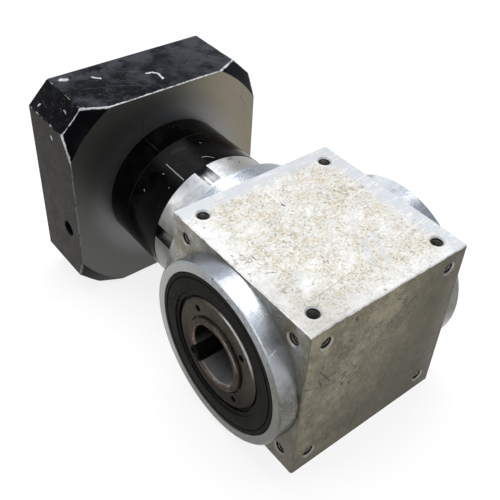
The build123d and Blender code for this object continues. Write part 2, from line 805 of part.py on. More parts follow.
def access_hole():
    """Side hole through which a key reaches the clamp screw of the motor hub."""
    radius, side = access_hole_dia / 2, adapter_side / 2
    where = (0, -clamp_screw_at, -clamp_screw_offset)
    hole = rod(along_x, radius, adapter_pocket_dia / 4, side, where)
    mouth_at = along_x * (side - access_hole_bevel) + Vector(*where)
    mouth = Solid.make_cone(radius, radius + access_hole_bevel, access_hole_bevel,
                            Plane(origin=mouth_at, z_dir=along_x))
    return hole.fuse(mouth)


def pinion_shaft():
    """Pinion and shaft in one, with journals for both bearings, the sleeve and the hub."""
    low, tip_in, tip = blank_points(pinion_pitch_radius, pinion_cone_angle)
    face = low[0] + pinion_face_dish
    collar, head, tail = pinion_collar_dia / 2, head_journal_dia / 2, tail_journal_dia / 2
    collar_start = tip[0] + (tip[1] - collar) * tan(radians(pinion_cone_angle))
    head_end = head_cup_back + journal_step
    journal = pinion_hub_bore / 2
    blank = turned(along_input, [
        (face, 0), (face, low[1] - pinion_face_dish), low, tip_in, tip, (collar_start, collar),
        (pinion_collar_end, collar), (pinion_collar_end, head), (head_end, head),
        (head_end + journal_step, tail), (nut_end, tail), (nut_end, journal),
        (journal_end - journal_bevel, journal), (journal_end, journal - journal_bevel),
        (journal_end, 0)])
    return cut_teeth(blank, along_input, along_x, pinion_teeth, pinion_pitch_radius,
                     pinion_cone_angle, 0)


def seal_sleeve():
    outer = seal_sleeve_dia / 2
    return turned(along_input, [(tail_cone_back, tail_journal_dia / 2), (tail_cone_back, outer),
                                (sleeve_end - small_bevel, outer), (sleeve_end, outer - small_bevel),
                                (sleeve_end, tail_journal_dia / 2)]).solid()


def lock_washer():
    outer = lock_nut_dia / 2 - lock_washer_inset
    return pipe(along_input, outer, tail_journal_dia / 2, sleeve_end, nut_start).solid()


def lock_nut():
    outer, bore = lock_nut_dia / 2, tail_journal_dia / 2
    body = turned(along_input, [(nut_start, bore), (nut_start, outer - small_bevel),
                                (nut_start + small_bevel, outer), (nut_end - small_bevel, outer),
                                (nut_end, outer - small_bevel), (nut_end, bore)])
    for index in range(lock_nut_slot_count):
        direction = around(along_input, 45 + index * 360.0 / lock_nut_slot_count)
        frame = Plane(origin=along_input * nut_start + direction * (outer - lock_nut_slot_depth),
                      x_dir=direction, z_dir=along_input)
        slot = Box(lock_nut_slot_depth * 2, lock_nut_slot_width, lock_nut_length,
                   align=(Align.MIN, Align.CENTER, Align.MIN))
        body = body.cut(frame.location * slot)
    return body.solid()


def wedge(outer, inner, start, end, middle, width):
    """A sector of a ring along the input axis, middle and width in degrees."""
    ring = pipe(along_input, outer, inner, start, end)
    reach = outer * 2
    corners = [middle - width / 2, middle + width / 2]
    points = [vec(0, 0, 0)] + [around(along_input, angle) * reach for angle in corners]
    face = Face(Wire.make_polygon([p + along_input * start for p in points], close=True))
    return ring & Solid.extrude(face, along_input * (end - start))


def coupling_hub(start, end, bore, toward_spider, screw_at, first_jaw):
    """Clamping half of the jaw coupling: slit, screw hole across it, and jaws on one end."""
    outer, inner = hub_dia / 2, bore / 2
    body = turned(along_input, [(start, inner), (start, outer - hub_bevel), (start + hub_bevel, outer),
                                (end - hub_bevel, outer), (end, outer - hub_bevel), (end, inner)])
    jaw = spider_space - jaw_end_gap
    low, high = (end, end + jaw) if toward_spider > 0 else (start - jaw, start)
    root = (low - hub_bevel, high) if toward_spider > 0 else (low, high + hub_bevel)
    for index in range(jaw_count):
        tooth = wedge(outer, jaw_inner_dia / 2, *root, first_jaw + index * 360.0 / jaw_count, jaw_angle)
        body = body.fuse(tooth.solid())
    cut_from = start if toward_spider > 0 else start + slit_end_wall
    cut_to = end - slit_end_wall if toward_spider > 0 else end
    slit = Box(clamp_slit_width, cut_to - cut_from, outer, align=(Align.CENTER, Align.MAX, Align.MAX))
    body = body.cut(Location((0, -cut_from, 0)) * slit)
    return body.cut(*clamp_screw_holes(screw_at)).solid()


def clamp_screw_holes(screw_at):
    """Clearance hole, tapped hole and head recess across the slit of a clamping hub."""
    reach = hub_dia / 2
    where = (0, -screw_at, -clamp_screw_offset)
    shank = clamp_screw_dia / 2
    return [rod(along_x, shank + screw_hole_clearance, 0, reach, where),
            rod(along_x, shank, -reach, 0, where),
            rod(along_x, clamp_screw_head_dia / 2 + head_hole_clearance, clamp_head_seat, reach, where)]


def clamp_screw(screw_at):
    return cap_screw(along_x, clamp_head_seat, -1, clamp_screw_dia, clamp_screw_length,
                     clamp_screw_head_dia, (0, -screw_at, -clamp_screw_offset))


def coupling_spider():
    """Rubber star between the jaws of the two hubs."""
    middle = (pinion_hub_end + motor_hub_start) / 2
    start, end = middle - spider_thickness / 2, middle + spider_thickness / 2
    body = pipe(along_input, spider_ring_dia / 2, spider_bore_dia / 2, start, end)
    step = 180.0 / jaw_count
    for index in range(2 * jaw_count):
        leg = wedge(hub_dia / 2 - spider_side_gap, spider_ring_dia / 2 - spider_leg_root, start, end,
                    (index + 0.5) * step, spider_leg_angle)
        body = body.fuse(leg.solid())
    return body.solid()


def build():
    save(gear_housing(), "gear_housing")
    save(hollow_shaft(), "hollow_shaft")
    save(far_sleeve(), "far_sleeve")
    save(bevel_wheel(), "bevel_wheel")
    save(wheel_dowels(), "wheel_dowels")
    output = TaperBearing(seal_journal_dia, output_bearing_dia, output_bearing_width,
                          output_cup_width, output_roller_angle, output_roller_radius,
                          output_roller_length, output_roller_count)
    save_bearing(output, "near_bearing", along_x, cone_back)
    save_bearing(output, "far_bearing", along_x, -cone_back, backwards=True)
    save(bearing_shims(), "bearing_shims")
    save(bore_retaining_rings(), "bore_retaining_rings")
    seal = (output_seal_length, output_seal_dia / 2, seal_journal_dia / 2)
    save(lip_seal(along_x, 1, seal_face, *seal), "near_shaft_seal")
    save(lip_seal(along_x, -1, -seal_face, *seal), "far_shaft_seal")

    save(pinion_shaft(), "pinion_shaft")
    save(bearing_carrier(), "bearing_carrier")
    save(carrier_screws(), "carrier_screws")
    save(carrier_o_ring(), "carrier_o_ring")
    head = TaperBearing(head_journal_dia, head_bearing_dia, head_bearing_width, head_cup_width,
                        head_roller_angle, head_roller_radius, head_roller_length, head_roller_count)
    tail = TaperBearing(tail_journal_dia, tail_bearing_dia, tail_bearing_width, tail_cup_width,
                        tail_roller_angle, tail_roller_radius, tail_roller_length, tail_roller_count)
    save_bearing(head, "head_bearing", along_input, pinion_collar_end)
    save_bearing(tail, "tail_bearing", along_input, tail_cone_back, backwards=True)
    save(seal_sleeve(), "seal_sleeve")
    save(lip_seal(along_input, 1, carrier_face - register_length - register_gap, input_seal_length,
                  tail_bearing_dia / 2, seal_sleeve_dia / 2), "input_seal")
    save(lock_washer(), "lock_washer")
    save(lock_nut(), "lock_nut")

    pinion_screw_at = pinion_hub_start + clamp_screw_from_end
    save(coupling_hub(pinion_hub_start, pinion_hub_end, pinion_hub_bore, 1, pinion_screw_at, 0),
         "pinion_hub")
    save(clamp_screw(pinion_screw_at), "pinion_hub_screw")
    save(coupling_spider(), "coupling_spider")
    save(coupling_hub(motor_hub_start, motor_hub_end, motor_hub_bore, -1, clamp_screw_at, jaw_turn),
         "motor_hub")
    save(clamp_screw(clamp_screw_at), "motor_hub_screw")

    save(tube_length(carrier_face, tube_joint), "coupling_housing")
    save(tube_length(tube_joint, adapter_face), "adapter_ring")
    save(motor_adapter(), "motor_adapter")
    save(tube_screws(), "tube_screws")


build()
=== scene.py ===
import math

import bpy
import numpy as np
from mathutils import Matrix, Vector


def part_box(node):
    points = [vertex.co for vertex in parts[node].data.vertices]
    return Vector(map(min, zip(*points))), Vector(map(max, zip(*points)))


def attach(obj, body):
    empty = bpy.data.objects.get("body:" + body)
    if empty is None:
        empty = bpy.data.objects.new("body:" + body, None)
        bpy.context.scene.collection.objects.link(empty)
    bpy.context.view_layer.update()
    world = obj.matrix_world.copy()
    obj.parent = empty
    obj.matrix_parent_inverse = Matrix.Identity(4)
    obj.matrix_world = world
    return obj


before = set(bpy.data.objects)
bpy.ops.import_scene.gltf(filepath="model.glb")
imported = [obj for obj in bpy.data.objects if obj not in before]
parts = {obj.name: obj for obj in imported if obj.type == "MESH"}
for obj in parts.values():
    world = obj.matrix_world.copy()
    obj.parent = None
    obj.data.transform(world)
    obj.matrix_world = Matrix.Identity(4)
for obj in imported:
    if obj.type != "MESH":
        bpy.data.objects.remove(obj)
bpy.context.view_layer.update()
scene = bpy.context.scene
print("frame loaded with", len(parts), "parts")

mm = 0.001

# Places taken from the frame, in millimetres
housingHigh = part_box("gear_housing")[1] / mm
carrierBox = [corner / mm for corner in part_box("bearing_carrier")]
adapterBox = [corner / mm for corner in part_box("motor_adapter")]
ringBox = [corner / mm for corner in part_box("adapter_ring")]
housingBox = [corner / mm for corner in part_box("coupling_housing")]
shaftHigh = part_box("hollow_shaft")[1] / mm

cubeHalf = housingHigh.z
bossFace = housingHigh.x
shaftRim = shaftHigh.x
carrierFace = -carrierBox[0].y
tubeJoint = -housingBox[0].y
adapterFace = -ringBox[0].y
adapterHalf = adapterBox[1].x
adapterBack = -adapterBox[0].y


# Small helpers that add nodes to the shader tree in hand

inHand = {"tree": None}


def openTree(owner):
    # takes the empty node tree of a material or of the world in hand
    owner.use_nodes = True
    inHand["tree"] = owner.node_tree
    owner.node_tree.nodes.clear()


def feed(slot, value):
    # links a value to a socket, or sets it there as a constant
    if isinstance(value, bpy.types.NodeSocket):
        inHand["tree"].links.new(value, slot)
    else:
        slot.default_value = (*value, 1.0) if slot.type == "RGBA" else value


def put(kind, inputs=None, **options):
    # one node: options are set on it, inputs are linked or set by socket name or number
    made = inHand["tree"].nodes.new(kind)
    for name, value in options.items():
        setattr(made, name, value)
    for key, value in (inputs or {}).items():
        feed(made.inputs[key], value)
    return made


def calc(operation, *values, clamp=False):
    return put("ShaderNodeMath", dict(enumerate(values)), operation=operation, use_clamp=clamp).outputs[0]


def times(first, second, clamp=False):
    return calc("MULTIPLY", first, second, clamp=clamp)


def plus(first, second, clamp=False):
    return calc("ADD", first, second, clamp=clamp)


def less(first, second, clamp=False):
    return calc("SUBTRACT", first, second, clamp=clamp)


def gap(first, second):
    return calc("ABSOLUTE", less(first, second))


def arrow(operation, *values):
    # vector maths; the last value may be a plain number for SCALE
    slots = [0, 3] if operation == "SCALE" else [0, 1, 2]
    made = put("ShaderNodeVectorMath", dict(zip(slots, values)), operation=operation)
    return made.outputs[1] if operation in ("LENGTH", "DOT_PRODUCT") else made.outputs[0]


def tint(factor, first, second, share=None):
    # first colour, changed into the second by the mask, or by a share of it
    if share is not None:
        factor = times(factor, share)
    return put("ShaderNodeMix", {0: factor, 6: first, 7: second}, data_type="RGBA").outputs[2]


def blend(factor, first, second):
    # a number between two numbers
    return put("ShaderNodeMix", {0: factor, 2: first, 3: second}).outputs[0]


def ramp(value, low, high, bottom=0.0, top=1.0):
    # smooth step from bottom at low to top at high, also with low above high
    return put("ShaderNodeMapRange", {0: value, 1: low, 2: high, 3: bottom, 4: top},
               interpolation_type="SMOOTHSTEP").outputs[0]


def noise(vector, size, detail=3.0, roughness=0.55):
    # noise whose features are about size millimetres wide
    scale = calc("DIVIDE", 1.0, size) if isinstance(size, bpy.types.NodeSocket) else 1.0 / size
    return put("ShaderNodeTexNoise", {"Vector": vector, "Scale": scale, "Detail": detail,
                                      "Roughness": roughness}).outputs[0]


def split(vector):
    return tuple(put("ShaderNodeSeparateXYZ", {0: vector}).outputs)


def join(x, y, z):
    return put("ShaderNodeCombineXYZ", {0: x, 1: y, 2: z}).outputs[0]


def most(*values):
    found = values[0]
    for value in values[1:]:
        found = calc("MAXIMUM", found, value)
    return found


def least(*values):
    found = values[0]
    for value in values[1:]:
        found = calc("MINIMUM", found, value)
    return found


# Effects that several finishes use, each a shader node group

def newGroup(name, inputs):
    # a group in hand with the given inputs and one output
    tree = inHand["tree"] = bpy.data.node_groups.new(name, "ShaderNodeTree")
    for label, value in inputs.items():
        kind = "NodeSocketVector" if isinstance(value, tuple) else "NodeSocketFloat"
        tree.interface.new_socket(label, in_out="INPUT", socket_type=kind).default_value = value
    tree.interface.new_socket("Mask", in_out="OUTPUT", socket_type="NodeSocketFloat")
    return put("NodeGroupInput").outputs


def endGroup(value):
    put("NodeGroupOutput", {"Mask": value})
    return inHand["tree"]


def use(group, vector, **inputs):
    return put("ShaderNodeGroup", {"Vector": vector, **inputs}, node_tree=group).outputs[0]


def blotchGroup():
    # noise of the given size, cut at a level with soft borders
    given = newGroup("blotches", {"Vector": (0, 0, 0), "Size": 10.0, "Level": 0.5, "Soft": 0.1})
    cloud = noise(given["Vector"], given["Size"], 5.0, 0.62)
    low = less(given["Level"], given["Soft"])
    high = plus(given["Level"], given["Soft"])
    return endGroup(ramp(cloud, low, high))


def speckGroup():
    # round dots: distance to the nearest random point against a random limit
    given = newGroup("specks", {"Vector": (0, 0, 0), "Spacing": 2.0, "Share": 0.3})
    scale = calc("DIVIDE", 1.0, given["Spacing"])
    cells = put("ShaderNodeTexVoronoi", {"Vector": given["Vector"], "Scale": scale})
    chance = split(cells.outputs["Color"])[0]
    limit = times(ramp(chance, less(1.0, given["Share"]), 1.0), 0.42)
    near = less(limit, cells.outputs["Distance"])
    return endGroup(ramp(near, 0.0, 0.09))


def turningGroup():
    # fine rings of a turned surface round the X axis: noise that is long round it and short along it
    given = newGroup("turning", {"Vector": (0, 0, 0), "Pitch": 0.3, "Run": 14.0})
    x, y, z = split(given["Vector"])
    radius = arrow("LENGTH", join(0.0, y, z))
    run = times(given["Run"], 0.1)
    steps = calc("DIVIDE", plus(x, times(radius, 1.37)), given["Pitch"])
    sideY = calc("DIVIDE", y, times(radius, run))
    sideZ = calc("DIVIDE", z, times(radius, run))
    return endGroup(noise(join(steps, sideY, sideZ), 1.0, 4.0, 0.7))


def scratchGroup():
    # thin level lines of noise stretched in three directions, kept only where a cloud allows
    given = newGroup("scratches", {"Vector": (0, 0, 0), "Length": 30.0, "Gap": 5.0, "Fine": 0.02,
                                   "Amount": 0.5})
    lines = []
    for turn in ((0.5, 0.2, 0.4), (1.4, 0.9, -0.6), (-0.7, 0.4, 1.9)):
        turned = put("ShaderNodeVectorRotate", {"Vector": given["Vector"], "Rotation": turn},
                     rotation_type="EULER_XYZ").outputs[0]
        x, y, z = split(turned)
        laid = join(calc("DIVIDE", x, given["Length"]), calc("DIVIDE", y, given["Gap"]),
                    calc("DIVIDE", z, given["Gap"]))
        level = gap(noise(laid, 1.0, 1.0, 0.4), 0.5)
        line = ramp(level, given["Fine"], 0.0)
        allow = noise(turned, times(given["Gap"], 2.3), 2.0, 0.6)
        limit = less(1.0, given["Amount"])
        lines.append(times(line, ramp(allow, limit, plus(limit, 0.06))))
    return endGroup(most(*lines))


def markGroup():
    # one mark: distance to the line between two points, roughened by noise, against its width
    given = newGroup("mark", {"Vector": (0, 0, 0), "From": (0, 0, 0), "To": (1, 0, 0), "Width": 0.5,
                              "Ragged": 0.3})
    line = arrow("SUBTRACT", given["To"], given["From"])
    away = arrow("SUBTRACT", given["Vector"], given["From"])
    share = calc("DIVIDE", arrow("DOT_PRODUCT", away, line), arrow("DOT_PRODUCT", line, line), clamp=True)
    foot = arrow("SCALE", line, share)
    distance = arrow("LENGTH", arrow("SUBTRACT", away, foot))
    rough = less(noise(given["Vector"], 1.4, 5.0, 0.75), 0.5)
    distance = plus(distance, times(rough, given["Ragged"]))
    whole = ramp(distance, given["Width"], times(given["Width"], 0.4))
    broken = ramp(noise(given["Vector"], 1.1, 4.0, 0.7), 0.32, 0.44, 0.35, 1.0)
    return endGroup(times(whole, broken))


def veinGroup():
    # curved cracks and stains: level lines of warped noise, kept only where a cloud allows
    given = newGroup("veins", {"Vector": (0, 0, 0), "Size": 9.0, "Fine": 0.015, "Amount": 0.45})
    warp = put("ShaderNodeTexNoise", {"Vector": given["Vector"], "Scale": 0.35, "Detail": 3.0}).outputs[1]
    warped = arrow("ADD", given["Vector"], arrow("SCALE", warp, 2.6))
    level = gap(noise(warped, given["Size"], 3.0, 0.6), 0.5)
    line = ramp(level, given["Fine"], 0.0)
    allow = noise(given["Vector"], times(given["Size"], 1.3), 3.0, 0.65)
    limit = less(1.0, given["Amount"])
    return endGroup(times(line, ramp(allow, limit, plus(limit, 0.08))))


def edgeGroup():
    # worn edge: distance to the edge, made uneven by noise of two sizes, against a width
    given = newGroup("edgeWear", {"Vector": (0, 0, 0), "Distance": 1.0, "Width": 0.6, "Uneven": 1.0})
    rough = plus(noise(given["Vector"], 3.5, 4.0, 0.7), noise(given["Vector"], 14.0, 2.0, 0.5))
    shift = times(less(rough, 1.0), given["Uneven"])
    far = plus(given["Distance"], shift)
    return endGroup(ramp(far, given["Width"], times(given["Width"], 0.5)))


blotches = blotchGroup()
specks = speckGroup()
turning = turningGroup()
scratches = scratchGroup()
mark = markGroup()
veins = veinGroup()
edgeWear = edgeGroup()
print("effect groups ready")


def startFinish(name):
    # a material in hand, its shader, and Object coordinates in millimetres
    finish = bpy.data.materials.new(name)
    openTree(finish)
    shader = put("ShaderNodeBsdfPrincipled")
    put("ShaderNodeOutputMaterial", {"Surface": shader.outputs[0]})
    place = arrow("SCALE", put("ShaderNodeTexCoord").outputs["Object"], 1.0 / mm)
    return finish, shader, place


def setShader(shader, inputs, height, depth):
    # links colours and masks, sets constants, and raises the surface by height times depth millimetres
    for label, value in inputs.items():
        feed(shader.inputs[label], value)
    bump = put("ShaderNodeBump", {"Height": height, "Distance": depth * mm})
    feed(shader.inputs["Normal"], bump.outputs[0])


def markSet(place, marks, ragged=0.3):
    # the marks of one list, each (from, to, width), as one mask
    return most(*[use(mark, place, From=start, To=end, Width=width, Ragged=ragged)
                  for start, end, width in marks])


def flatMarks(axis, level, rows):
    # marks on a flat face, from rows (start, start, end, end, width): its level goes in at its axis
    marks = []
    for startOne, startTwo, endOne, endTwo, width in rows:
        start, end = [startOne, startTwo], [endOne, endTwo]
        for point in (start, end):
            point.insert("xyz".index(axis), level)
        marks.append((start, end, width))
    return marks


def swapAxes(place):
    # puts the input axis where the X axis was, for parts turned round it
    x, y, z = split(place)
    return join(y, x, z)


# Cube housing: pale speckled top, brownish plain face, bright turned bosses; painted reflection on the
# bosses and painted shade on lower, far and corner parts

housingFinish = {
    "bare": (0.66, 0.66, 0.64), "white": (0.86, 0.865, 0.86), "cool": (0.62, 0.65, 0.70),
    "tan": (0.66, 0.575, 0.42), "tanDark": (0.24, 0.21, 0.155), "brownGrey": (0.195, 0.175, 0.117),
    "brownDark": (0.095, 0.084, 0.055), "brownShade": (0.062, 0.054, 0.034),
    "brownPale": (0.36, 0.325, 0.228), "sideGrey": (0.34, 0.34, 0.32),
    "turned": (0.40, 0.425, 0.46), "turnedHighlight": (0.80, 0.84, 0.90), "turnedDark": (0.115, 0.110, 0.09),
    "turnedBlue": (0.31, 0.335, 0.375), "rimFace": (0.22, 0.22, 0.21), "rimPale": (0.31, 0.31, 0.30),
    "edge": (0.85, 0.85, 0.83), "nickAndHoleShade": (0.03, 0.026, 0.022), "seam": (0.04, 0.036, 0.03),
    "holeInset": 11.4, "holeRadius": 3.45, "mouthRadius": 4.4,
    "nicks": flatMarks("z", 55, [
        (3.6, -26.6, 3.1, -24.6, 0.62), (50.9, -9.6, 50.7, -8.6, 0.35), (42.6, -3.4, 43.0, 0.6, 0.3),
        (-16.5, -14.5, -17.8, -13.6, 0.4), (44.8, 10.5, 40.0, 13.0, 0.22),
        (14.0, 21.0, 15.0, 23.2, 0.25)]),
    "patches": flatMarks("z", 55, [
        (-12.3, 21.0, -4.6, 33.0, 3.4), (-20.0, 19.0, -11.0, 38.0, 2.9), (33.0, 20.0, 36.5, 24.5, 3.2),
        (14.0, 8.0, 15.0, 11.0, 1.8)]),
    "lines": flatMarks("z", 55, [
        (41.6, 37.6, 9.7, 34.4, 0.3), (33.0, -4.7, 23.4, -4.5, 0.25)]),
    "paleLines": flatMarks("z", 55, [
        (-36.0, -17.4, -54.0, -19.8, 0.45), (-30.0, -9.4, -54.5, -12.2, 0.45),
        (-31.0, 29.6, -52.0, 27.2, 0.45), (-38.0, 33.5, -46.0, 32.6, 0.35)]),
    "scuffs": flatMarks("y", 55, [
        (45.5, 24.8, 36.8, 11.6, 0.6), (39.8, 9.2, 24.1, 10.1, 0.5), (40.5, 15.5, 33.0, 15.8, 0.45),
        (45.0, 18.5, 42.5, 10.5, 0.5), (27.2, 2.6, 26.4, 0.9, 1.1), (21.7, -0.7, 20.9, -2.4, 1.1),
        (-10.0, -10.4, -14.8, -7.0, 0.8), (25.6, 49.6, 24.9, 48.2, 1.4), (12.4, -45.2, 8.6, -36.4, 0.7),
        (8.6, -36.4, 9.4, -29.0, 0.5), (-8.0, 19.8, -22.3, 32.0, 0.4), (0.0, 26.0, -12.0, 36.0, 0.4)]),
    "bossScratches": [
        ((66.5, 40.4, 35.1), (60.8, 39.2, 36.4), 0.2), ((66.0, 41.2, 34.2), (63.0, 39.8, 35.8), 0.16),
        ((65.0, 28.3, 45.4), (59.7, 26.5, 46.5), 0.18), ((63.0, 22.0, 48.8), (60.0, 20.0, 49.7), 0.16)],
    "rimNicks": flatMarks("x", 67, [
        (-3.9, 53.2, -3.1, 52.2, 0.7), (20.7, -49.2, 20.2, -47.6, 0.5), (9.0, 48.4, 8.6, 47.9, 0.5),
        (41.0, 31.5, 40.6, 31.0, 0.5), (-12.0, -52.0, -11.4, -49.4, 0.45),
        (-31.0, -42.6, -29.8, -40.8, 0.4)]),
}


def housingMaterial():
    # zones by place: top, plain face, sides and bosses, each its own mix of clouds, grains and marks, with
    # painted reflection and painted shade
    look = housingFinish
    finish, shader, place = startFinish("housingMetal")
    x, y, z = split(place)
    ax, ay, az = (calc("ABSOLUTE", value) for value in (x, y, z))
    top = ramp(z, cubeHalf - 0.35, cubeHalf - 0.15)
    plain = ramp(y, cubeHalf - 0.35, cubeHalf - 0.15)
    bossX = ramp(ax, cubeHalf + 0.02, cubeHalf + 0.12)
    bossY = ramp(y, -cubeHalf - 0.02, -cubeHalf - 0.12)
    rimX = ramp(ax, bossFace - 0.5, bossFace - 0.1)

    # speckled top
    grain = noise(place, 4.0, 8.0, 0.92)
    grainFine = noise(place, 1.3, 5.0, 0.85)
    cloud = noise(place, 22.0, 5.0, 0.6)
    reach = most(ax, less(ay, 3.0))
    middle = times(ramp(reach, 53.0, 36.0), ramp(cloud, 0.30, 0.52))
    tanShare = times(middle, ramp(grain, 0.43, 0.57), clamp=True)
    topColour = tint(ramp(noise(place, 7.0, 5.0, 0.7), 0.38, 0.66), look["white"], look["bare"])
    topColour = tint(tanShare, topColour, look["tan"], 0.85)
    topColour = tint(ramp(grainFine, 0.47, 0.38), topColour, look["white"])
    darkGrain = times(ramp(grainFine, 0.54, 0.64), plus(0.35, middle), clamp=True)
    topColour = tint(darkGrain, topColour, look["tanDark"])
    stain = use(veins, place, Size=16.0, Fine=0.028, Amount=0.44)
    stain = most(times(stain, 0.55), times(use(specks, place, Spacing=2.6, Share=0.1), 0.6))
    topColour = tint(stain, topColour, look["tanDark"])
    # painted shade: the top turns darker towards its front corner
    frontCornerShade = ramp(plus(x, y), 40.0, 104.0, 0.0, 0.42)
    topColour = tint(frontCornerShade, topColour, look["tanDark"])
    backBand = most(ramp(y, -42.0, -49.0), ramp(x, -40.0, -50.0))
    streakX = noise(join(times(x, 0.12), y, z), 2.2, 3.0, 0.6)
    backBand = times(backBand, ramp(streakX, 0.34, 0.5))
    patches = times(markSet(place, look["patches"], 9.0), 0.5)
    clean = most(backBand, patches)
    topColour = tint(clean, topColour, look["cool"], 0.85)
    topColour = tint(markSet(place, look["paleLines"]), topColour, look["edge"])
    topColour = tint(markSet(place, look["lines"]), topColour, look["tanDark"], 0.6)

    # brownish plain face, with painted shade towards -X and towards the bottom
    smudge = noise(join(x, y, times(z, 0.6)), 9.0, 6.0, 0.72)
    mottle = noise(place, 2.6, 4.0, 0.7)
    plainColour = tint(ramp(smudge, 0.26, 0.52), look["brownDark"], look["brownGrey"])
    plainColour = tint(ramp(smudge, 0.52, 0.74), plainColour, look["brownPale"])
    plainColour = tint(ramp(mottle, 0.52, 0.68), plainColour, look["brownDark"], 0.35)
    plainColour = tint(ramp(mottle, 0.46, 0.34), plainColour, look["brownPale"], 0.45)
    areas = noise(place, 24.0, 5.0, 0.6)
    plainColour = tint(ramp(areas, 0.50, 0.36), plainColour, look["brownDark"], 0.42)
    plainColour = tint(ramp(areas, 0.51, 0.64), plainColour, look["brownPale"], 0.5)
    cracks = use(veins, place, Size=13.0, Fine=0.030, Amount=0.47)
    shifted = arrow("ADD", place, (37.0, 11.0, 53.0))
    cracks = most(cracks, use(veins, shifted, Size=6.0, Fine=0.04, Amount=0.42))
    plainColour = tint(cracks, plainColour, look["seam"], 0.7)
    dots = use(specks, place, Spacing=2.4, Share=0.1)
    plainColour = tint(dots, plainColour, look["seam"], 0.5)
    # painted shade: darker towards -X and towards the bottom
    farSideShade = ramp(plus(x, times(smudge, 20.0)), 8.0, -30.0)
    plainColour = tint(farSideShade, plainColour, look["brownDark"], 0.62)
    low = ramp(plus(z, times(noise(place, 12.0), 22.0)), 18.0, -34.0)
    plainColour = tint(low, plainColour, look["brownShade"], 0.6)
    plainColour = tint(ramp(grainFine, 0.53, 0.6), plainColour, look["brownDark"], 0.4)
    fineLines = use(scratches, place, Length=26.0, Gap=5.0, Fine=0.012, Amount=0.52)
    plainColour = tint(fineLines, plainColour, look["brownPale"], 0.5)
    # painted shade: darkest at the lower -X corner
    rightLowShade = ramp(plus(x, times(z, 0.5)), 34.0, -36.0, 0.0, 0.6)
    plainColour = tint(rightLowShade, plainColour, look["brownShade"])
    scuff = markSet(place, look["scuffs"], 2.2)
    plainColour = tint(scuff, plainColour, look["seam"], 0.8)

    # other flat sides, with painted shade towards the bottom
    sideColour = tint(ramp(noise(place, 11.0, 4.0, 0.6), 0.34, 0.66), look["brownGrey"], look["sideGrey"])
    sideColour = tint(ramp(grainFine, 0.53, 0.6), sideColour, look["brownDark"], 0.3)
    sideColour = tint(ramp(areas, 0.5, 0.36), sideColour, look["brownDark"], 0.4)
    # painted shade: darker towards the bottom
    sideColour = tint(ramp(z, 6.0, -34.0, 0.0, 0.72), sideColour, look["brownDark"])
    sideColour = tint(cracks, sideColour, look["seam"], 0.4)
    sideColour = tint(fineLines, sideColour, look["bare"], 0.3)

    # turned bosses: a painted reflection band, pale, mid and bluish by the angle round the axis, and
    # painted shade on their lower side
    ringsX = use(turning, place, Pitch=0.34, Run=9.0)
    ringsY = use(turning, swapAxes(place), Pitch=0.34, Run=9.0)
    rings = blend(bossY, ringsX, ringsY)
    sheen = noise(place, 15.0, 3.0, 0.5)
    roundX = blend(bossY, y, x)
    drift = times(less(sheen, 0.5), 40.0)
    # painted reflection: the place of the band round the axis, shifted on the far boss
    reflectionBandPlace = plus(plus(roundX, drift), ramp(x, -40.0, -50.0, 0.0, 26.0))
    bossColour = tint(ramp(reflectionBandPlace, -2.0, 14.0), look["turnedBlue"], look["turnedHighlight"])
    bossColour = tint(ramp(reflectionBandPlace, 26.0, 42.0), bossColour, look["turned"])
    # painted shade: darker towards the bottom
    bossColour = tint(ramp(plus(z, drift), 34.0, 8.0), bossColour, look["turnedDark"])
    bossColour = tint(ramp(rings, 0.45, 0.7), bossColour, look["turnedDark"], 0.22)
    flecks = use(blotches, place, Size=2.4, Level=0.60, Soft=0.03)
    bossColour = tint(flecks, bossColour, look["turnedBlue"], 0.35)
    rimColour = tint(ramp(noise(place, 3.0, 4.0, 0.7), 0.35, 0.65), look["rimFace"], look["turnedBlue"])
    rimColour = tint(ramp(y, 0.0, -36.0), rimColour, look["rimPale"])
    rimColour = tint(ramp(less(z, y), 12.0, -28.0, 0.0, 0.85), rimColour, look["turnedDark"])
    bossColour = tint(rimX, bossColour, rimColour)
    bossScratch = most(markSet(place, look["bossScratches"], 0.1), times(fineLines, 0.1))
    bossColour = tint(bossScratch, bossColour, look["edge"])
    bossColour = tint(markSet(place, look["rimNicks"], 0.5), bossColour, look["seam"])

    colour = tint(top, sideColour, topColour)
    colour = tint(plain, colour, plainColour)
    boss = most(bossX, bossY)
    colour = tint(boss, colour, bossColour)

    # bright worn edges of the cube, and painted shade on its vertical edges
    gaps = [less(cubeHalf, value) for value in (ax, ay, az)]
    total = plus(gaps[0], plus(gaps[1], gaps[2]))
    second = less(less(total, least(*gaps)), most(*gaps))
    upright = ramp(az, cubeHalf - 1.6, cubeHalf - 0.8, 0.08, 1.0)
    worn = times(use(edgeWear, place, Distance=second, Width=0.7, Uneven=0.9), upright)
    notBoss = less(1.0, boss)
    # painted shade on the vertical edges
    edgeShade = times(ramp(second, 0.8, 0.5), less(1.0, upright))
    colour = tint(times(edgeShade, notBoss), colour, look["brownDark"])
    colour = tint(times(worn, notBoss), colour, look["edge"])

    # tapped holes get painted shade inside, their mouths are bright
    inset = cubeHalf - look["holeInset"]
    holes, mouths = [], []
    for first, other, depth in ((ax, ay, az), (ay, az, ax), (ax, az, ay)):
        offset = join(less(first, inset), less(other, inset), 0.0)
        distance = arrow("LENGTH", offset)
        under = ramp(depth, cubeHalf - 0.75, cubeHalf - 1.0)
        holes.append(times(ramp(distance, look["holeRadius"] + 0.1, look["holeRadius"]), under))
        mouths.append(times(ramp(distance, look["mouthRadius"] + 0.05, look["mouthRadius"] - 0.05),
                            ramp(depth, cubeHalf - 0.02, cubeHalf - 0.08)))
    inHole, mouth = most(*holes), most(*mouths)
    mouthLevel = ramp(z, cubeHalf - 2.0, cubeHalf - 1.5, 0.3, 0.85)
    colour = tint(times(mouth, mouthLevel), colour, look["bare"])
    # painted shade inside the holes
    colour = tint(inHole, colour, look["nickAndHoleShade"])
    nick = markSet(place, look["nicks"], 0.35)
    colour = tint(nick, colour, look["nickAndHoleShade"])

